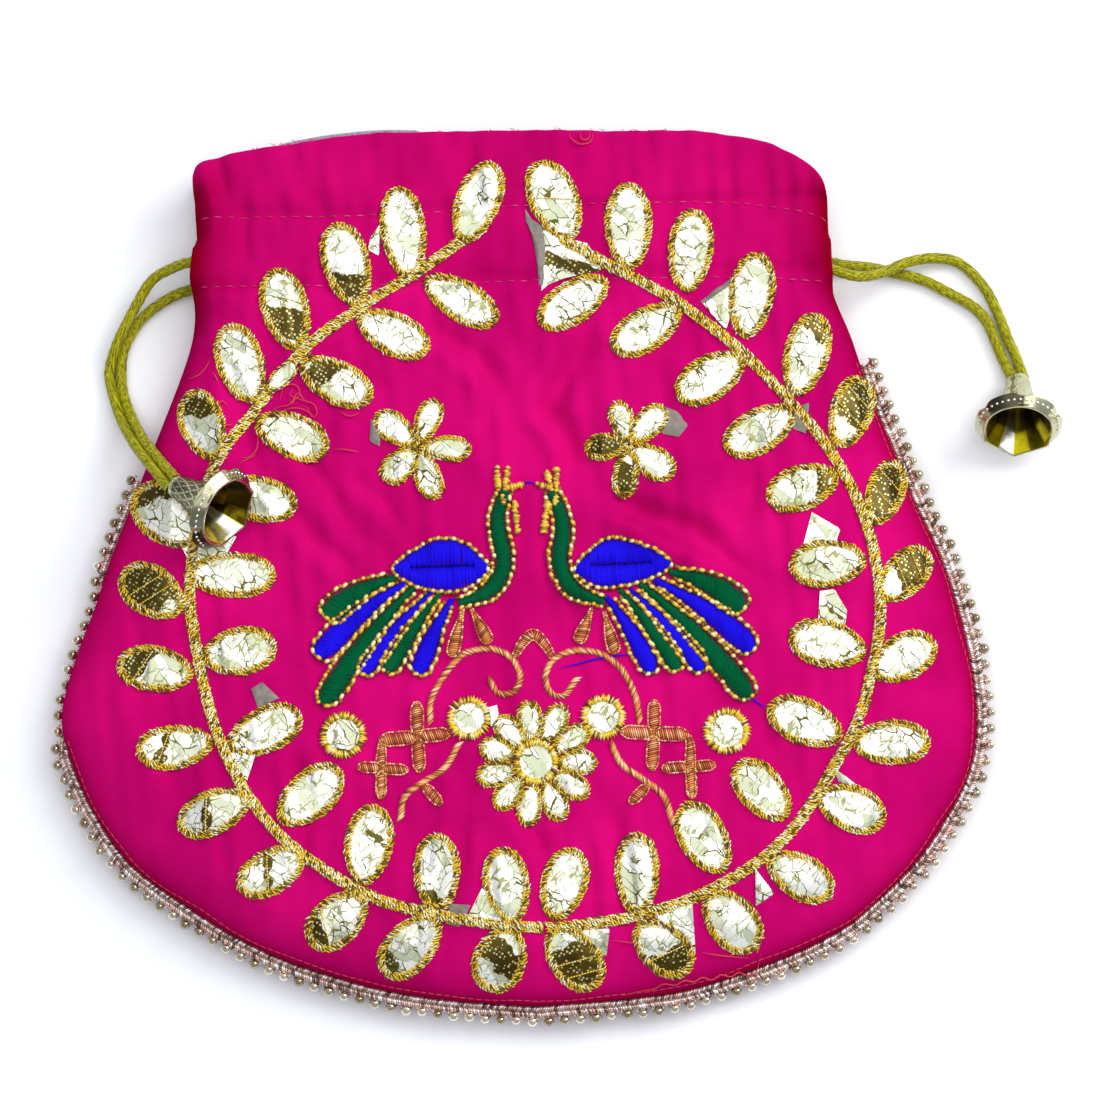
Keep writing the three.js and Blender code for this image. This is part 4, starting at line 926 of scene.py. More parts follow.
# the padding yarn that the short stitches go over, coloured dark brown as painted shade between them
def coreBand(line, width, closed=True):
    p = np.vstack([line, line[:1]]) if closed else line
    _, right = normals(line, closed)
    right = np.vstack([right, right[:1]]) if closed else right
    off = np.array([-0.44, -0.24, 0.24, 0.44])[None, :, None] * width
    plan = p[:, None] + right[:, None] * off
    z = coverZ(plan[..., 0], plan[..., 1]) + np.array([0.02, 0.3, 0.3, 0.02])
    verts = np.concatenate([plan, z[..., None]], 2).reshape(-1, 3)
    return verts, gridFaces(*z.shape)[:, ::-1], np.full(z.size, 0.1)


def ringStitches(line, width, pitch, rise):  # satin stitch across a ring, so its edges stay clean
    p = evenly(np.vstack([line, line[:1]]), pitch)[:-1]
    along, right = normals(p, True)
    rough = 1 + 0.12 * dice.randn(len(p), 2)
    lean = 0.25 * dice.randn(len(p), 1) * along
    reach = right * width / 2
    runs = overCloth(p + reach * rough[:, :1] + lean, p - reach * rough[:, 1:] - lean, 0.15, rise, 5)
    # dark tones are painted shade between stitches, the palest painted glints
    return runs, np.where(dice.rand(len(p)) < 0.2, 0.2 * dice.rand(len(p)), 0.35 + 0.55 * dice.rand(len(p)))


def joinMeshes(parts):
    verts, faces, marks, start = [], [], [], 0
    for v, f, m in parts:
        verts.append(v)
        faces.append(f + start)
        marks.append(m)
        start += len(v)
    return np.vstack(verts), np.vstack(faces), np.concatenate(marks)


def addFilm(name, parts, material=film):
    verts, faces, marks = joinMeshes(parts)
    addMesh(name, verts, faces, material, {"dark": marks})


# stitches of one yarn, however many points each has
def addRuns(name, runs, wide, tall, material, slot, sides=4, cores=()):
    parts = list(cores)
    for lines, tones in runs:
        shape = spindle(lines.shape[1]) if lines.shape[1] > 3 else np.array([0.45, 1, 0.45])
        verts, faces, each = strandMesh(lines, (wide * shape)[None, :], (tall * shape)[None, :], sides)
        parts.append((verts, faces, np.repeat(tones, each)))
    verts, faces, marks = joinMeshes(parts)
    return addMesh(name, verts, faces, material, marks={"tone": marks})


# a leaf or petal: film, the yarn round it and the padding below
def sewLeaf(work, outline, inset, width, rings, shade, pitch, rise, rows):
    seat = shrink(outline, inset)
    work["film"].append(filmPatch(shrink(outline, width * 0.6), rings, *shade))
    work["runs"].append(outlineStitches(seat, width, pitch, rise, rows=rows))
    work["cores"].append(coreBand(seat, width))


def makeVine(name):
    vine, line = vines[name], vines["outline"]
    work = {"film": [], "runs": [], "cores": []}
    parts, runs, cores = work.values()
    for x0, y0, x1, y1, width, *marks in vine["leaves"]:
        dark, gilt = marks[0] if marks else None, marks[1:]
        outline = leafLine(x0, y0, x1, y1, width * vines["widen"], vines["taper"], 48)
        shade = dark, (x0, y0, x1, y1)
        sewLeaf(work, outline, line / 2, line, 10, shade, vines["pitch"], vines["rise"], 4)
        for t in gilt:
            c = np.array([x0 + (x1 - x0) * t, y0 + (y1 - y0) * t])
            u = np.array([x1 - x0, y1 - y0]) / math.hypot(x1 - x0, y1 - y0)
            v = np.array([u[1], -u[0]])
            half = (v * 0.85 - u * 0.4) * width * 0.42
            row = evenly(np.vstack([c - half, c + half]), 0.7)
            runs.append((overCloth(row[:-1], row[1:] + 0.15 * (row[1:] - row[:-1]), 0.75, 0.15, 4),
                0.4 + 0.5 * dice.rand(len(row) - 1)))
    stem = smoothLine(vine["stem"], 0.42)
    # the stem gets a larger share of painted glints than the leaves
    lines, tones = outlineStitches(stem, vines["stemWidth"], 0.66, vines["rise"] * 1.1, False, 6, 1.6, 0.38)
    if name == "left":
        x0, y0, x1, y1, width = vines["bud"]
        outline = leafLine(x0, y0, x1, y1, width, 0.9, 32)
        parts.append(filmPatch(outline, 6))
        parts[-1][0][:, 2] += 0.55
        size, off = math.hypot(x1 - x0, y1 - y0), lines[:, 1, :2] - ((x0 + x1) / 2, (y0 + y1) / 2)
        u = np.array([x1 - x0, y1 - y0]) / size
        clear = (off @ u / size * 2) ** 2 + (off @ np.array([u[1], -u[0]]) / width * 2) ** 2 > 1.1
        ring, shades = outlineStitches(outline, 1.0, 0.66, 0.5, rows=2, fringe=0)
        runs.append((ring + np.array([0, 0, 0.6]), shades))
        lines, tones = lines[clear], tones[clear]
    runs.append((lines, tones))
    cores.append(coreBand(stem[::3], vines["stemWidth"], False))
    addFilm(name + "_vine_film", parts)
    piece = addRuns(name + "_vine_zari", runs, *vines["yarn"], zari, "zari", 3, cores)
    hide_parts(name + "_leaf_vine")


for name in ("left", "right"):
    makeVine(name)
print("leaf vines stitched")

# five-petal flowers, daisy and round spangles: film under a gilt outline
blooms = {
    "right_flower": {"at": (25.1, 27.2),
        "petals": [(22.4, 38), (34, 36.4), (35.4, 19.6), (23.2, 14.8), (14.6, 27)],
        # dark: the stretch of a petal's film painted as dark reflection
        "width": (7.2, 8.6, 9.4, 7.8, 8), "dark": {3: (0.35, 0.95), 4: (0.2, 0.95)}},
    "left_flower": {"at": (-25.3, 28.5),
        "petals": [(-20.6, 40), (-35, 37), (-33.6, 20.8), (-21.4, 15.8), (-12.6, 27.4)],
        "width": (7.8, 8.8, 9.2, 8, 7.6), "dark": {}},
    "daisy": {"at": (0.4, -47.8), "petals": 11, "turn": 96, "root": 4.9, "reach": 14.6, "width": 7.0,
        "centre": 5.5},
    "spangles": {"right_inner": (16.6, -37.7, 5.4), "left_inner": (-15.1, -36.9, 5.3),
        "right_outer": (45.7, -42, 5.6), "left_outer": (-45, -39.9, 5.6)},
    "outline": 1.5, "pitch": 0.66, "ring": 2.2, "yarn": (0.3, 0.25), "daisyYarn": (0.28, 0.23),
    "ringYarn": (0.28, 0.24),
}


def makeFlower(name):
    bloom, line = blooms[name], blooms["outline"]
    cx, cy = bloom["at"]
    work = {"film": [], "runs": [], "cores": []}
    for i, (x, y) in enumerate(bloom["petals"]):
        outline = leafLine(cx + (x - cx) * 0.06, cy + (y - cy) * 0.06, x, y, bloom["width"][i], 0.6)
        shade = bloom["dark"].get(i), (cx, cy, x, y)
        sewLeaf(work, outline, line / 2, line, 8, shade, blooms["pitch"], 0.6, 3)
    work["runs"].append(ringStitches(ringLine(cx, cy, 0.9, 12), 1.6, 0.5, 0.9))
    addFilm(name + "_film", work["film"])
    piece = addRuns(name + "_zari", work["runs"], *blooms["yarn"], zari, "foil", 3, work["cores"])
    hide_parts(name)


def makeDaisy():
    d = blooms["daisy"]
    cx, cy = d["at"]
    work = {"film": [], "runs": [], "cores": []}
    for i in range(d["petals"]):
        a = math.radians(d["turn"]) + i / d["petals"] * 2 * math.pi
        c, s = math.cos(a), math.sin(a)
        reach = d["reach"] + 0.5 * dice.randn()
        ends = cx + c * d["root"], cy + s * d["root"], cx + c * reach, cy + s * reach
        outline = leafLine(*ends, d["width"], 0.72, 40)
        sewLeaf(work, outline, 0.7, blooms["outline"], 7, (), blooms["pitch"], 0.55, 3)
    addFilm("daisy_petal_film", work["film"])
    petals = addRuns("daisy_petal_zari", work["runs"], *blooms["daisyYarn"], zari, "foil", 3, work["cores"])
    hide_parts("daisy_petals")
    addFilm("daisy_centre_film", [filmPatch(ringLine(cx, cy, d["centre"] - 1.3), 8)])
    ring = ringStitches(ringLine(cx, cy, d["centre"] - 0.9), blooms["ring"], 0.42, 0.85)
    centre = addRuns("daisy_centre_zari", [ring], *blooms["ringYarn"], zari, "foil")
    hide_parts("daisy_centre")


def makeSpangle(name):
    x, y, r = blooms["spangles"][name]
    outline = ringLine(x, y, r)
    # the left outer spangle has a band painted as dark reflection
    dark = (0.02, 0.2) if name == "left_outer" else None
    patch = filmPatch(shrink(outline, 1.5), 8, dark, (x, y - r, x, y + r))
    addFilm(name + "_spangle_film", [patch])
    ring = ringStitches(shrink(outline, 1.0), blooms["ring"], 0.42, 0.8)
    piece = addRuns(name + "_spangle_zari", [ring], *blooms["ringYarn"], zari, "foil")
    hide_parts(name + "_spangle")


for name in ("right_flower", "left_flower"):
    makeFlower(name)
makeDaisy()
for name in blooms["spangles"]:
    makeSpangle(name)
print("flowers and spangles stitched")

# peacocks in satin stitch, with a gilt chain round each shape
peacocks = {
    "right": {
        "body": [(11.5, -1.3), (17.4, 4.3), (22.1, 4.9), (29.2, 2.2), (34, -1.5), (30.1, -4.8), (18.1, -7.2),
            (12.3, -4.4)], "crease": (14.5, 29.5, -1.3),
        "neck": [(6.4, 16.6), (8.3, 10.9), (8.6, 6.1), (7.5, 1.3), (8.3, -3.5), (11.5, -7.7), (17.6, -10.3)],
        "feathers": [(33.7, -3.7, 50.9, -12.9, 4.8, 1.4), (30.1, -5.7, 52.7, -23, 4.6, 1.4),
            (26.5, -6.1, 51.5, -34.2, 4.4, 1.2), (24.1, -7.7, 40.6, -27.4, 3.7, 0.8),
            (21.7, -7.6, 35, -27.2, 3.7, 0.6), (18.5, -9.2, 28.8, -27.4, 4.2, 0.6)],
        "legs": [(14.9, -11.7, 11.3, -19.7), (17.7, -12.5, 20, -22.6)],
        "gilt": [(6.2, 17, 5.3, 21.4), (7.4, 16.9, 7.6, 22), (6, 17.6, 2.8, 18.5), (5.3, 14.1, 3.9, 6.8),
            (7.2, 15.6, 7.1, 13.6)],
    },
    "left": {
        "body": [(-9.4, -0.5), (-14.7, 4.9), (-20.7, 6.3), (-27.9, 3.2), (-32.1, -1), (-25.8, -5.5),
            (-17.5, -6.7), (-11.5, -4.1)], "crease": (-28, -12.5, -0.5),
        "neck": [(-4.9, 16.8), (-6.7, 11.4), (-6.6, 6.6), (-5.6, 1.7), (-6.4, -3), (-9.9, -7), (-16.4, -9.4)],
        "feathers": [(-31.6, -2.9, -48.3, -11.7, 4.8, -1.4), (-29.3, -4.4, -50.4, -21.1, 4.6, -1.4),
            (-26.9, -5, -49.5, -32.4, 4.4, -1.2), (-22.9, -6.5, -39.9, -25.6, 3.7, -0.8),
            (-21.1, -7.1, -34.2, -25.3, 3.7, -0.6), (-18.3, -8.6, -26.8, -26, 4.2, -0.6)],
        "legs": [(-15.7, -10.6, -18.7, -22), (-13.8, -10.7, -9.8, -19.2)],
        "gilt": [(-6.3, 17.4, -6.6, 22.6), (-4.8, 17.4, -3.9, 22.6), (-4, 17.8, -0.7, 18.7),
            (-2.8, 14.4, -2.1, 7), (-5.4, 16, -5.3, 14)],
    },
    "pitch": 0.4, "yarn": (0.34, 0.16), "chainYarn": (0.52, 0.38), "legYarn": (0.26, 0.23), "neckWidth": 4.0,
    "rise": 0.75,
}


def bandEdges(line, half):
    _, right = normals(line)
    return line + right * half[:, None], line - right * half[:, None]


def satinBand(line, half, lean=0.0):  # yarns side by side across a band, padded in the middle
    along, right = normals(line)
    n = len(line)
    rough = 1 + 0.06 * dice.randn(n, 2)
    starts = line + right * half[:, None] * rough[:, :1] + along * lean * half[:, None]
    ends = line - right * half[:, None] * rough[:, 1:] - along * lean * half[:, None]
    return overCloth(starts, ends, 0.12, peacocks["rise"] * np.clip(half / 1.6, 0.45, 1), 6)


def edgedBand(line, half, lean=0.3):  # a band of satin stitch with a line of stitches along both edges
    runs = []
    fill = satinBand(line, half * 0.8, lean)
    # dark tones are painted shade between stitches, the palest painted highlights
    runs.append((fill, np.where(dice.rand(len(fill)) < 0.3, 0.15, 0.4 + 0.5 * dice.rand(len(fill)))))
    for side in bandEdges(line, half * 0.85):
        p = evenly(side, 0.8)
        run = overCloth(p[:-1], p[1:] + 0.25 * (p[1:] - p[:-1]), 0.3, 0.35, 6)
        runs.append((run, np.where(dice.rand(len(run)) < 0.3, 0.1, 0.5 + 0.5 * dice.rand(len(run)))))
    return np.concatenate([r for r, _ in runs]), np.concatenate([t for _, t in runs])


def featherLine(x0, y0, x1, y1, bow):
    t = np.linspace(0, 1, 40)[:, None]
    length = math.hypot(x1 - x0, y1 - y0)
    across = np.array([-(y1 - y0), x1 - x0]) / length
    line = np.array([x0, y0]) * (1 - t) + np.array([x1, y1]) * t + across * bow * 4 * t * (1 - t)
    return evenly(line, peacocks["pitch"])


def featherHalf(count, width, root=0.32):
    t = np.linspace(0, 1, count)
    grow = root + (1 - root) * ease(t / 0.75)
    return width / 2 * grow * np.sqrt(np.clip(1 - np.clip((t - 0.88) / 0.13, 0, 1) ** 2, 0.02, 1))


def chainStitches(line, closed=False, bold=False):  # chain stitch: pale links with very dark brown ones between, painted shade between the loops
    pitch = 1.15 if bold else 0.95
    p = evenly(np.vstack([line, line[:1]]) if closed else line, pitch)
    along, right = normals(p)
    n = len(p)
    pale = np.arange(n) % 2 == 1
    wave = np.where(pale, 0.2, -0.2)[:, None]
    half = np.where(pale, 0.66 * pitch, 0.55 * pitch)[:, None] * (1 + 0.22 * dice.randn(n, 1))
    starts = p - along * half + right * (wave + 0.16 * dice.randn(n, 1))
    ends = p + along * half + right * (0.16 * dice.randn(n, 1) - wave)
    tones = np.where(pale, (0.5 if bold else 0.55) + 0.45 * dice.rand(n), 0.25 * dice.rand(n))
    return overCloth(starts, ends, 0.2, np.where(pale, 0.75, 0.45), 5), tones


def makePeacock(name):
    bird = peacocks[name]
    chains = []

    def edge(line, closed=False, bold=False):
        chains.append(chainStitches(line, closed, bold))

    def fill(part, lines, floss, slot, shades=None):
        shades = 0.46 + 0.1 * dice.rand(len(lines)) if shades is None else shades
        piece = addRuns(f"{name}_{part}_floss", [(lines, shades)], *peacocks["yarn"], floss, slot, 5)
        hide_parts(f"{name}_peacock_{part}")

    outline = smoothLine(bird["body"], 0.5, True)
    low, high, mid = bird["crease"]
    starts, ends = [], []
    for x in np.arange(outline[:, 0].min() + 0.2, outline[:, 0].max() - 0.1, peacocks["pitch"]):
        hits = []
        for p, q in zip(outline, np.roll(outline, -1, 0)):
            if (p[0] - x) * (q[0] - x) <= 0 and p[0] != q[0]:
                hits.append(p[1] + (q[1] - p[1]) * (x - p[0]) / (q[0] - p[0]))
        top, bottom = max(hits), min(hits)
        part = mid + 0.12 * dice.randn() if low < x < high else None
        runs = [(top, bottom)]
        if part is not None and bottom + 1 < part < top - 1:
            runs = [(top, part - 0.4), (part + 0.4, bottom)]
        for a, b in runs:
            starts.append((x, a + 0.1 * dice.randn()))
            ends.append((x + 0.12 * dice.randn(), b))
    lines = overCloth(np.array(starts), np.array(ends), 0.2, 0.8, 7)
    # the parting along the body is lined with the darkest blue stitches as painted shade
    row = np.stack([np.linspace(low, high, 12), mid + 0.1 * dice.randn(12)], 1)
    parting_shade_rows = []
    for off in (-0.45, 0, 0.45):
        parting_shade_rows.append(overCloth(row[:-1] + (0, off), row[1:] + (0, off), 0.4 + 0.2 * (off == 0), 0.05, 7))
    shades = np.concatenate([0.46 + 0.1 * dice.rand(len(lines)), np.repeat([0.3, 0, 0.3], 11)])
    fill("body", np.concatenate([lines] + parting_shade_rows), blueFloss, "blue_thread", shades)
    edge(outline, True)

    line = smoothLine(bird["neck"], peacocks["pitch"])
    t = np.linspace(0, 1, len(line))
    half = peacocks["neckWidth"] / 2 * np.clip(0.75 + 0.9 * t, 0, 1.05) * (1 - 0.55 * ease((t - 0.72) / 0.28))
    fill("neck", satinBand(line, half, 0.25), greenFloss, "green_thread")
    for side in bandEdges(line, half + 0.35):
        edge(side)

    for i, (x0, y0, x1, y1, width, bow) in enumerate(bird["feathers"]):
        line = featherLine(x0, y0, x1, y1, bow)
        half = featherHalf(len(line), width * (1.28 if i < 3 else 1.16))
        floss, slot = (greenFloss, "green_thread") if i % 2 == 0 else (blueFloss, "blue_thread")
        fill(f"feather_{i + 1}", satinBand(line, half, 0.35), floss, slot)
        a, b = bandEdges(line, half + 0.3)
        edge(np.vstack([a[4:], b[4:][::-1]]), bold=True)

    for i, (x0, y0, x1, y1) in enumerate(bird["legs"]):
        line = evenly(np.array([(x0, y0), (x1, y1)]), 0.5)
        piece = addRuns(f"{name}_leg_{i + 1}_floss", [edgedBand(line, featherHalf(len(line), 3.5, 0.2))],
            *peacocks["legYarn"], copperFloss, "copper_thread")
        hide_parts(f"{name}_peacock_leg_{i + 1}")

    for x0, y0, x1, y1 in bird["gilt"]:  # crest, beak, wattle and eye
        line = evenly(np.array([(x0, y0), (x1, y1)]), 0.4)
        n = len(line)
        _, right = normals(line)
        wide = 0.75 + 0.2 * dice.randn(n, 1)
        ends = line - right * wide + 0.2 * dice.randn(n, 2)
        lines = overCloth(line + right * wide, ends, 0.2, 0.6, 5)
        chains.append((lines, 0.1 + 0.6 * dice.rand(n)))
    addRuns(name + "_peacock_chain", chains, *peacocks["chainYarn"], chain, "zari", 5)


for name in ("right", "left"):
    makePeacock(name)
print("peacocks stitched")

# scrolls, arch and sprigs in copper floss
scrolls = {
    "curls": [[(25.3, -39), (24.3, -32.8), (21.5, -26.7), (16.9, -22.7), (10.3, -21.6), (5.2, -23.8),
        (3.4, -27.8), (4.5, -31.4), (7.5, -32.2), (10.8, -28.2)],
        [(-24.3, -37.7), (-23.9, -32.3), (-20.7, -26.5), (-15.8, -21.6), (-9.6, -20.6), (-4.9, -22.7),
            (-2.7, -27.1), (-4, -30.6), (-7.6, -31.2), (-10.1, -28)],
        [(18.2, -43.9), (20.7, -49), (25.5, -52.7), (30.1, -56.7), (32.2, -63.3)],
        [(-17.6, -42.7), (-21.1, -48.3), (-25.9, -51.4), (-30.8, -55.1), (-32.1, -60.4)]],
    "curlWidth": 1.6,
    "bars": [[(-3.8, -22.7), (-2, -19.6), (0.7, -17.4), (3.2, -19.6), (5.2, -23.1)],
        [(36.3, -42.7), (36.9, -45.1), (36.7, -50.3), (36.9, -57.4)],
        [(-35.6, -41.4), (-35.8, -42.6), (-36.2, -47.8), (-36.4, -54.9)]],
    "barWidth": 2.9, "yarn": (0.22, 0.21),
    "leaves": [(28.4, -41.9, 20.7, -41.4, 3.2), (28.6, -42, 36.6, -42.6, 3.4), (28.5, -41.6, 28.8, -34.1, 3),
        (28.4, -42.4, 27.7, -50.7, 3), (36.4, -50.2, 30.1, -50.3, 2.6), (37, -50.2, 42.6, -50, 2.6),
        (26.6, -54.2, 22.2, -58.3, 2.5), (36.8, -51, 36.9, -57.6, 2.5), (-27.4, -40.9, -19.7, -40.3, 3.2),
        (-27.6, -41, -36.3, -41.4, 3.4), (-27.4, -40.6, -27.3, -32.7, 3), (-27.4, -41.4, -27.1, -49.3, 3),
        (-36, -48, -41.6, -47.6, 2.6), (-36.2, -48.2, -29.9, -48.7, 2.6), (-26.2, -52.4, -22.3, -57.2, 2.5),
        (-36.2, -49, -36.4, -55.2, 2.5)],
}


def makeScrollwork():
    lines = []
    for points in scrolls["curls"]:
        line = smoothLine(points, 0.42)
        curl = satinBand(line, np.full(len(line), scrolls["curlWidth"] / 2), 1.1)
        # dark tones are painted shade between stitches, the palest painted highlights
        lines.append((curl, np.where(dice.rand(len(curl)) < 0.25, 0.1, 0.4 + 0.6 * dice.rand(len(curl)))))
    for points in scrolls["bars"]:
        line = smoothLine(points, 0.5)
        t = np.linspace(0, 1, len(line))
        lines.append(edgedBand(line, scrolls["barWidth"] / 2 * (0.55 + 0.45 * np.sin(math.pi * t))))
    for x0, y0, x1, y1, width in scrolls["leaves"]:
        line = evenly(np.array([(x0, y0), (x1, y1)]), 0.5)
        t = np.linspace(0, 1, len(line))
        lines.append(edgedBand(line, width * 0.57 * np.clip(0.35 + 1.1 * np.sin(math.pi * t), 0, 1)))
    piece = addRuns("scroll_floss", lines, *scrolls["yarn"], copperFloss, "copper_thread")
    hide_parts("scrollwork")


makeScrollwork()
print("scrollwork stitched")

# edging: rose-gold braid along the seam, and one row of beads on thread loops
edging = {"startY": 47.0, "endY": 24.5, "gap": -0.3, "bead": 2.6, "pitch": 3.7, "away": 3.4, "tuck": 2.3,
    "yarn": (0.4, 0.42), "loopYarn": (0.24, 0.24)}


def seamRun():
    right = rightLine[rightLine[:, 1] < edging["startY"]]
    left = leftLine[leftLine[:, 1] < edging["endY"]]
    return np.vstack([right, left[::-1][1:]])


def makeEdging():
    line = evenly(seamRun(), 0.55)
    along, right = normals(line)
    out = -right  # the run goes clockwise round the bag, so outward is to its left
    n = len(line)
    tuck = edging["tuck"] * tucked(line[:, 0], line[:, 1])
    line = line - out * tuck[:, None]
    z = cloth["seam"] - 0.55 * tuck + 0.25 * ripple(line[:, 0], line[:, 1], 15, 61)
    lines = []
    for k, (near, far, lift) in enumerate(((0.1, 1.5, 0.35), (1.3, 2.9, 0.2))):
        lean = 0.75 * (1 if k == 0 else -1)
        t = np.linspace(0, 1, 5)[None, :, None]
        a = line - along * lean / 2 + out * (edging["gap"] + near)
        b = line + along * lean / 2 + out * (edging["gap"] + far)
        plan = a[:, None] * (1 - t) + b[:, None] * t + 0.06 * dice.randn(n, 1, 2)
        high = z[:, None] + lift + 0.55 * np.sin(math.pi * t[..., 0]) ** 0.7
        lines.append(np.concatenate([plan, high[..., None]], 2))
    lines = np.concatenate(lines)
    # tones run from painted shade in the gaps to white painted glints
    braid = addRuns("braid_lurex", [(lines, dice.rand(len(lines)))], *edging["yarn"], lurex, "braid")
    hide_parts("edging_braid")

    spots = evenly(seamRun(), edging["pitch"])
    along, right = normals(spots)
    out = -right
    n = len(spots)
    spots = spots - out * (edging["tuck"] * tucked(spots[:, 0], spots[:, 1]))[:, None]
    centre = spots + out * (edging["away"] + 0.15 * dice.randn(n, 1))
    zc = cloth["seam"] - 0.2 + 0.35 * dice.randn(n)
    lat = np.radians([-78, -50, -22, 6, 34, 60, 80])
    lon = np.arange(12) / 12 * 2 * math.pi
    ball = np.stack([np.cos(lat)[:, None] * np.cos(lon), np.cos(lat)[:, None] * np.sin(lon),
        np.sin(lat)[:, None] + 0 * lon], 2).reshape(-1, 3)
    size = edging["bead"] / 2 * (1 + 0.06 * dice.randn(n))
    where = np.concatenate([centre, zc[:, None]], 1)
    verts = where[:, None] + ball[None] * size[:, None, None]
    faces = (np.arange(n)[:, None, None] * len(ball) + tubeFaces(len(lat), len(lon))).reshape(-1, 4)
    beads = addMesh("edging_bead_row", verts.reshape(-1, 3), faces, acrylic,
        marks={"tone": np.repeat(dice.rand(n), len(ball))})
    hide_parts("edging_beads")
    loops = []
    for way in (-1, 1):  # each bead hangs in a small loop of yarn from the braid
        t = np.linspace(0, 1, 6)[None, :, None]
        foot = spots + out * (edging["gap"] + 2.5) + along * way * 1.5
        tip = centre + along * way * 0.55
        mid = (foot + tip) / 2 + along * way * 0.35
        plan = foot[:, None] * (1 - t) ** 2 + 2 * mid[:, None] * t * (1 - t) + tip[:, None] * t ** 2
        rise = (zc - cloth["seam"] - 0.1)[:, None] * t[..., 0]
        high = cloth["seam"] + 0.1 + rise + 0.35 * np.sin(math.pi * t[..., 0])
        loops.append(np.concatenate([plan, high[..., None]], 2))
    loops = np.concatenate(loops)
    addRuns("edging_loops", [(loops, 0.7 * dice.rand(len(loops)))], *edging["loopYarn"], lurex, "braid", 5)


makeEdging()
print("edging sewn")

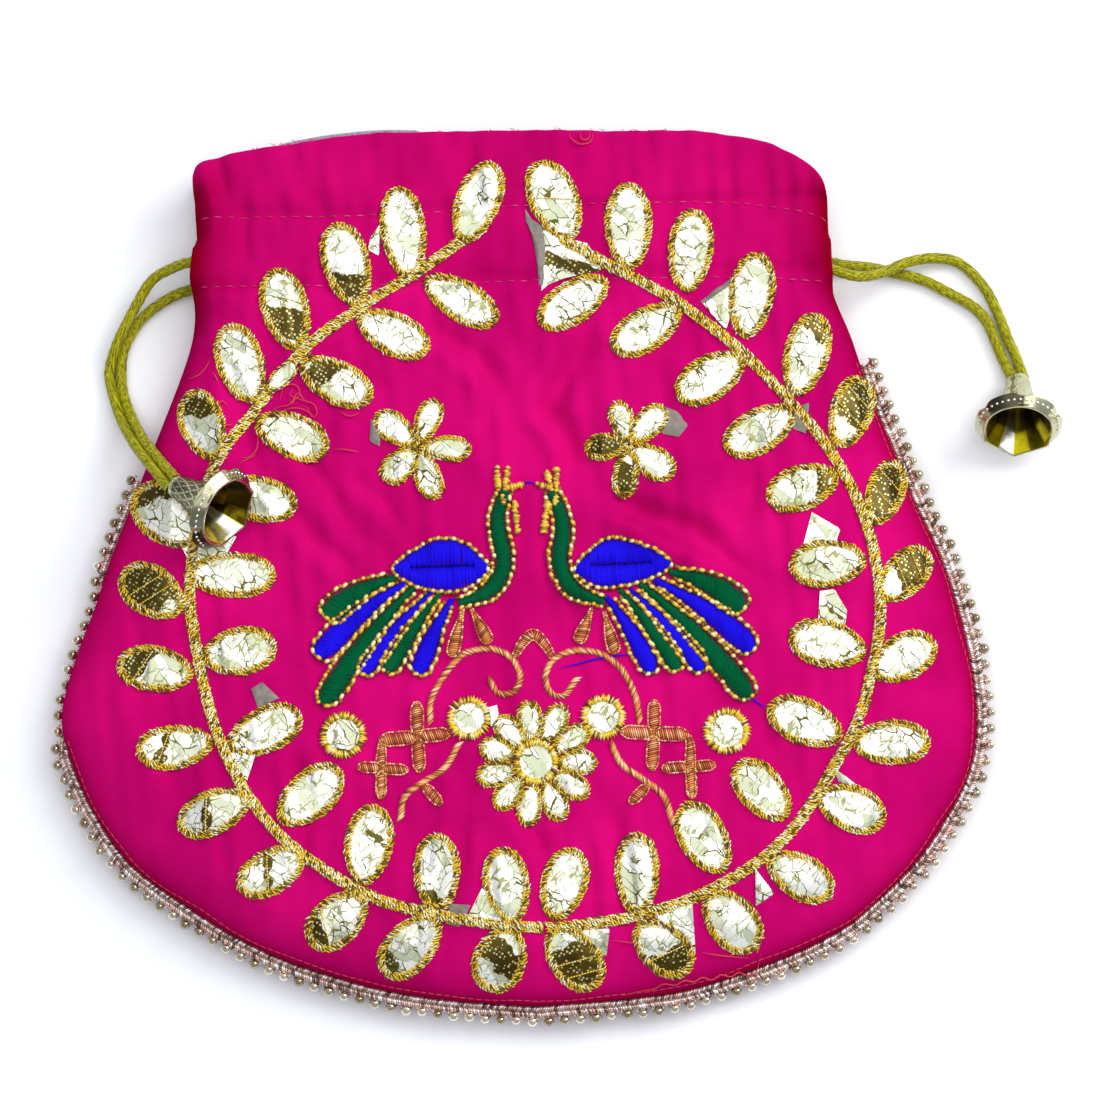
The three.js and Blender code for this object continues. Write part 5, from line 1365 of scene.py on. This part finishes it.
# sewing: casing rows, top stitching, loose ends and torn scraps of film
sewn = {
    "rows": [[(-75, 86.6), (-28, 85.8), (1, 87), (44.4, 86.2), (61.2, 84.6), (74, 81.5)],
        [(-75.6, 69.6), (-23.6, 68.5), (0.4, 68.5), (43.6, 67.8), (72, 66)]],
    "top": 1.1, "yarn": (0.15, 0.13), "looseYarn": (0.2, 0.18), "blueYarn": (0.22, 0.16),
    "fibre": (0.08, 0.08), "fibres": 46,
    "loose": [[(-80.3, 47.7), (-77.6, 48.3), (-75.7, 50), (-74.4, 52.1)],
        [(-74, 48.7), (-73.1, 47.2), (-72.7, 46)],
        [(-57.9, 41.1), (-57.1, 44), (-55, 44.9), (-53.3, 43.8), (-53.6, 41.7), (-55.5, 42.2), (-54.7, 43.9)],
        [(-61.1, 38), (-58.2, 39.4), (-55.6, 40), (-53.6, 42.9), (-52.2, 40.9), (-49.8, 39.8), (-49.2, 37.4),
            (-50.4, 36.7), (-51.3, 38.9), (-52.7, 39.9)],
        [(-58, 38.4), (-54.9, 39), (-52, 38.5), (-49.4, 36.4)],
        [(-55.8, 41.7), (-55.1, 40), (-54.1, 41.4), (-52, 40.6)],
        [(-67.8, 27.6), (-66.2, 27.3), (-64, 28.9), (-63.4, 31.6), (-63.9, 33.5)],
        [(-67.9, 25.7), (-66.7, 26.6), (-64, 28)],
        [(-45.3, 28.8), (-42.5, 28.4), (-39.4, 27.8)],
        [(-73.3, 39.9), (-71.8, 41.3), (-70.4, 40.1)],
        [(-71.9, 35.7), (-70.3, 35.2), (-69.3, 35.7)],
        [(-43.7, 37.7), (-41.3, 36.4), (-38.9, 37.3)],
        [(13.5, 105), (13.9, 103.4), (16, 101.8), (18.4, 102.3), (19.3, 104.6)],
        [(16.1, 104.9), (16.5, 103.1), (18, 103), (18.5, 104.5)],
        [(51.9, -94.3), (51.4, -96.6), (50.6, -98.9), (48.4, -99.3), (46.6, -98.5), (44.7, -99.6),
            (42.3, -98.9), (40.2, -100.2), (37.9, -99.4), (35.9, -100.5), (33.6, -100), (31.5, -101.1),
            (28.7, -100.7), (26.5, -101.8), (23, -102.2), (18.7, -103.2)],
        [(16.8, -90.3), (23.4, -91.4), (29.9, -93.1)],
        [(37.8, -93.8), (43, -94.7), (49.1, -95.3)]],
    "blue": [[(10.2, 13), (10.9, 10.5), (10.9, 8)], [(-9, 12), (-9.3, 9.5), (-8.8, 7)],
        [(6.4, -25.8), (12, -24.6), (18, -23.4), (26, -23)], [(51, -34), (53.6, -35.8), (55.4, -37)],
        [(-0.7, 18.8), (0.9, 19), (2.6, 18.6)]],
    # film that was not trimmed away; True shows its dull back; some give a stretch painted as dark reflection
    # and its axis
    "scraps": [([(2.2, 86.1), (3.8, 83.3), (6.1, 81.7), (6.8, 79), (6.8, 73.4), (5.9, 66.8), (4.9, 67.3),
        (4.6, 72.7), (4.1, 76.9), (3.2, 81.4), (2.3, 82.9)], True),
        ([(6.3, 80.8), (13, 78.1), (17, 76.9), (18.4, 73.7), (20.2, 70.2), (14.9, 69.4), (10.7, 68.6),
            (7.1, 67.2), (5.4, 65.6), (6.1, 73.4)], False, (0.44, 0.66), (10.4, 80.4, 9.9, 66.2)),
        ([(-35.3, 80), (-32.8, 83.4), (-33.3, 75.6), (-35.9, 77.1)], False),
        ([(44.1, 61.4), (47.6, 63.8), (51, 66.3), (52, 61.7), (49.4, 54.7), (46.6, 57.9)], False),
        ([(43.6, 61.9), (47.4, 64.8), (51.3, 67.3), (51.5, 65.8), (47.5, 63.3), (44.1, 61)], True),
        ([(63.9, 34.5), (68.6, 36.3), (67.5, 28.8), (64.2, 30.1)], True),
        ([(68, 9.6), (74.6, 5.4), (73.5, 2.2), (65.6, 1.7)], False),
        ([(69.1, -9.4), (72.6, -9), (75.4, -14.2), (74.7, -18), (68.4, -16.6)], False),
        ([(-66.4, -28.2), (-63.8, -26.6), (-59.8, -30.6), (-64.9, -32.8)], True),
        ([(-74.2, -43.6), (-65.1, -41.8), (-67.9, -49.8)], False),
        ([(-20.9, -80.4), (-16, -81), (-18.8, -86), (-22.2, -85)], True),
        ([(-17.4, -84.6), (-12.1, -74.8), (-7.6, -86.2), (-9.6, -86.6)], False),
        ([(8.9, -87.4), (16.4, -87.6), (15.4, -94), (12, -91.8)], False),
        ([(27.1, -85.2), (36, -82), (36.4, -94), (32, -90)], False),
        ([(51.1, -74.6), (55.4, -80.6), (51, -83.4)], False),
        ([(70.6, -51.6), (76.6, -56.2), (71.6, -55)], False),
        ([(32.9, 36.7), (36.9, 35.1), (39.4, 31.7), (37.1, 28.8), (33.1, 29.7)], True),
        ([(-36.3, 35.6), (-33.8, 34.4), (-34.4, 29), (-36.8, 30.4)], True),
        ([(-82.7, 7.4), (-69, 8.6), (-72, 3.6), (-80.3, 2.4)], False),
        ([(-10.8, -34.6), (-8.4, -34), (-7.6, -38.4), (-10.2, -39)], False)],
}


def strayRuns(threads, pitch, count, lift, wave):  # loose threads that lie on the cloth
    runs = []
    for points in threads:
        p = smoothLine(points, pitch)
        k = np.linspace(0, len(p) - 1, count)
        x, y = (np.interp(k, np.arange(len(p)), p[:, i]) for i in range(2))
        runs.append(np.stack([x, y, coverZ(x, y) + lift + wave * np.abs(np.sin(k * 0.21))], 1))
    return np.array(runs)


def makeSewing():
    runs = []
    for points in sewn["rows"]:
        p = smoothLine(points, 3.1)
        along, _ = normals(p)
        lines = overCloth(p - along * 0.95, p + along * 0.95, 0.05, 0.28, 5, frontZ)
        runs.append((lines, 0.42 + 0.33 * dice.rand(len(p))))
    p = evenly(seamRun(), 1.9)  # red thread along the seam, just inside the braid
    p = p[tucked(p[:, 0], p[:, 1]) < 0.3]
    along, right = normals(p)
    p = p + right * (sewn["top"] + 0.3 * ripple(p[:, :1], p[:, 1:], 22, 81))
    lines = overCloth(p - along * 0.9, p + along * 0.9, 0.05, 0.25, 5, frontZ)
    runs.append((lines, 0.25 * dice.rand(len(p))))
    addRuns("seam_stitches", runs, *sewn["yarn"], sewing, "satin", 5)

    runs = strayRuns(sewn["loose"], 0.6, 40, 0.25, 0.35)
    addRuns("loose_thread_ends", [(runs, np.full(len(runs), 0.08))], *sewn["looseYarn"], sewing, "satin", 5)
    runs = strayRuns(sewn["blue"], 0.4, 16, 0.3, 0)
    addRuns("stray_blue_floss", [(runs, np.full(len(runs), 0.5))], *sewn["blueYarn"], blueFloss,
        "blue_thread", 5)

    n = sewn["fibres"]  # cut ends along the mouth
    x = dice.uniform(-70, 66, n)
    start = np.stack([x, mouthY(x) + 0.7, frontZ(x, mouthY(x)) - 0.6], 1)
    push = np.stack([1.1 * dice.randn(n), 0.2 + 0.7 * dice.rand(n), 0.3 * dice.randn(n)], 1)
    t = np.linspace(0, 1, 5)[None, :, None]
    curl = np.stack([dice.randn(n), 0 * x, 0.5 * dice.randn(n)], 1)[:, None]
    fibres = start[:, None] + push[:, None] * t + curl * np.sin(t * 3) * 0.5
    addRuns("mouth_fibres", [(fibres, 0.2 + 0.6 * dice.rand(n))], *sewn["fibre"], sewing, "satin")

    for name, dull in (("film_scraps", False), ("film_scrap_backs", True)):
        parts = []
        for points, turned, *shade in sewn["scraps"]:
            if turned == dull:
                line = evenly(np.array(points + points[:1]), 0.8)[:-1]
                v, f, m = filmPatch(line, 6, *shade)
                v[:, 2] += -0.28 + 0.12 * ripple(v[:, 0], v[:, 1], 5, 71)
                parts.append((v, f, m))
        addFilm(name, parts, filmBack if dull else film)


makeSewing()
print("sewing done")

# cut size and area of each sheet, in metres, and what it lies on
for piece, flat, area, under in (
    (front, (0.219, 0.256), 0.0440, "back_cloth"),
    (back, (0.219, 0.256), 0.0440, "floor"),
    (frontLining, (0.216, 0.168), 0.0300, "back_cloth"),
    (backLining, (0.216, 0.212), 0.0375, "back_cloth"),
):
    print(piece.name, "area", round(sum(p.area for p in piece.data.polygons), 5))

# stage: white table, one large soft box above, a weaker one from the upper right, pale room
studio = {"top": (0.0, 0.2, 1.5, 2.2, 19.0), "side": (1.2, 0.7, 1.0, 0.9, 16.5), "room": 0.46}


def makeStage():
    table = newMaterial("white_table",
        {"Base Color": "#FAFAFA", "Roughness": 0.9, "Specular IOR Level": 0.1})[0]
    mesh = bpy.data.meshes.new("floor")
    mesh.from_pydata([(-3, -3, 0), (3, -3, 0), (3, 3, 0), (-3, 3, 0)], [], [(0, 1, 2, 3)])
    mesh.materials.append(table)
    floor = bpy.data.objects.new("floor", mesh)
    bpy.context.scene.collection.objects.link(floor)
    for name in ("top", "side"):
        x, y, z, size, power = studio[name]
        data = bpy.data.lights.new(name + "_softbox", "AREA")
        data.size = size
        data.energy = power
        lamp = bpy.data.objects.new(name + "_softbox", data)
        lamp.location = (x, y, z)
        lamp.rotation_euler = (Vector((0, 0, 0)) - Vector((x, y, z))).to_track_quat("-Z", "Y").to_euler()
        bpy.context.scene.collection.objects.link(lamp)
    world = bpy.data.worlds.new("room")
    world.use_nodes = True
    world.node_tree.nodes["Background"].inputs["Color"].default_value = linear("#E6ECFF")
    world.node_tree.nodes["Background"].inputs["Strength"].default_value = studio["room"]
    scene = bpy.context.scene
    scene.world = world
    scene.view_settings.view_transform = "Standard"


makeStage()
print("stage lit")
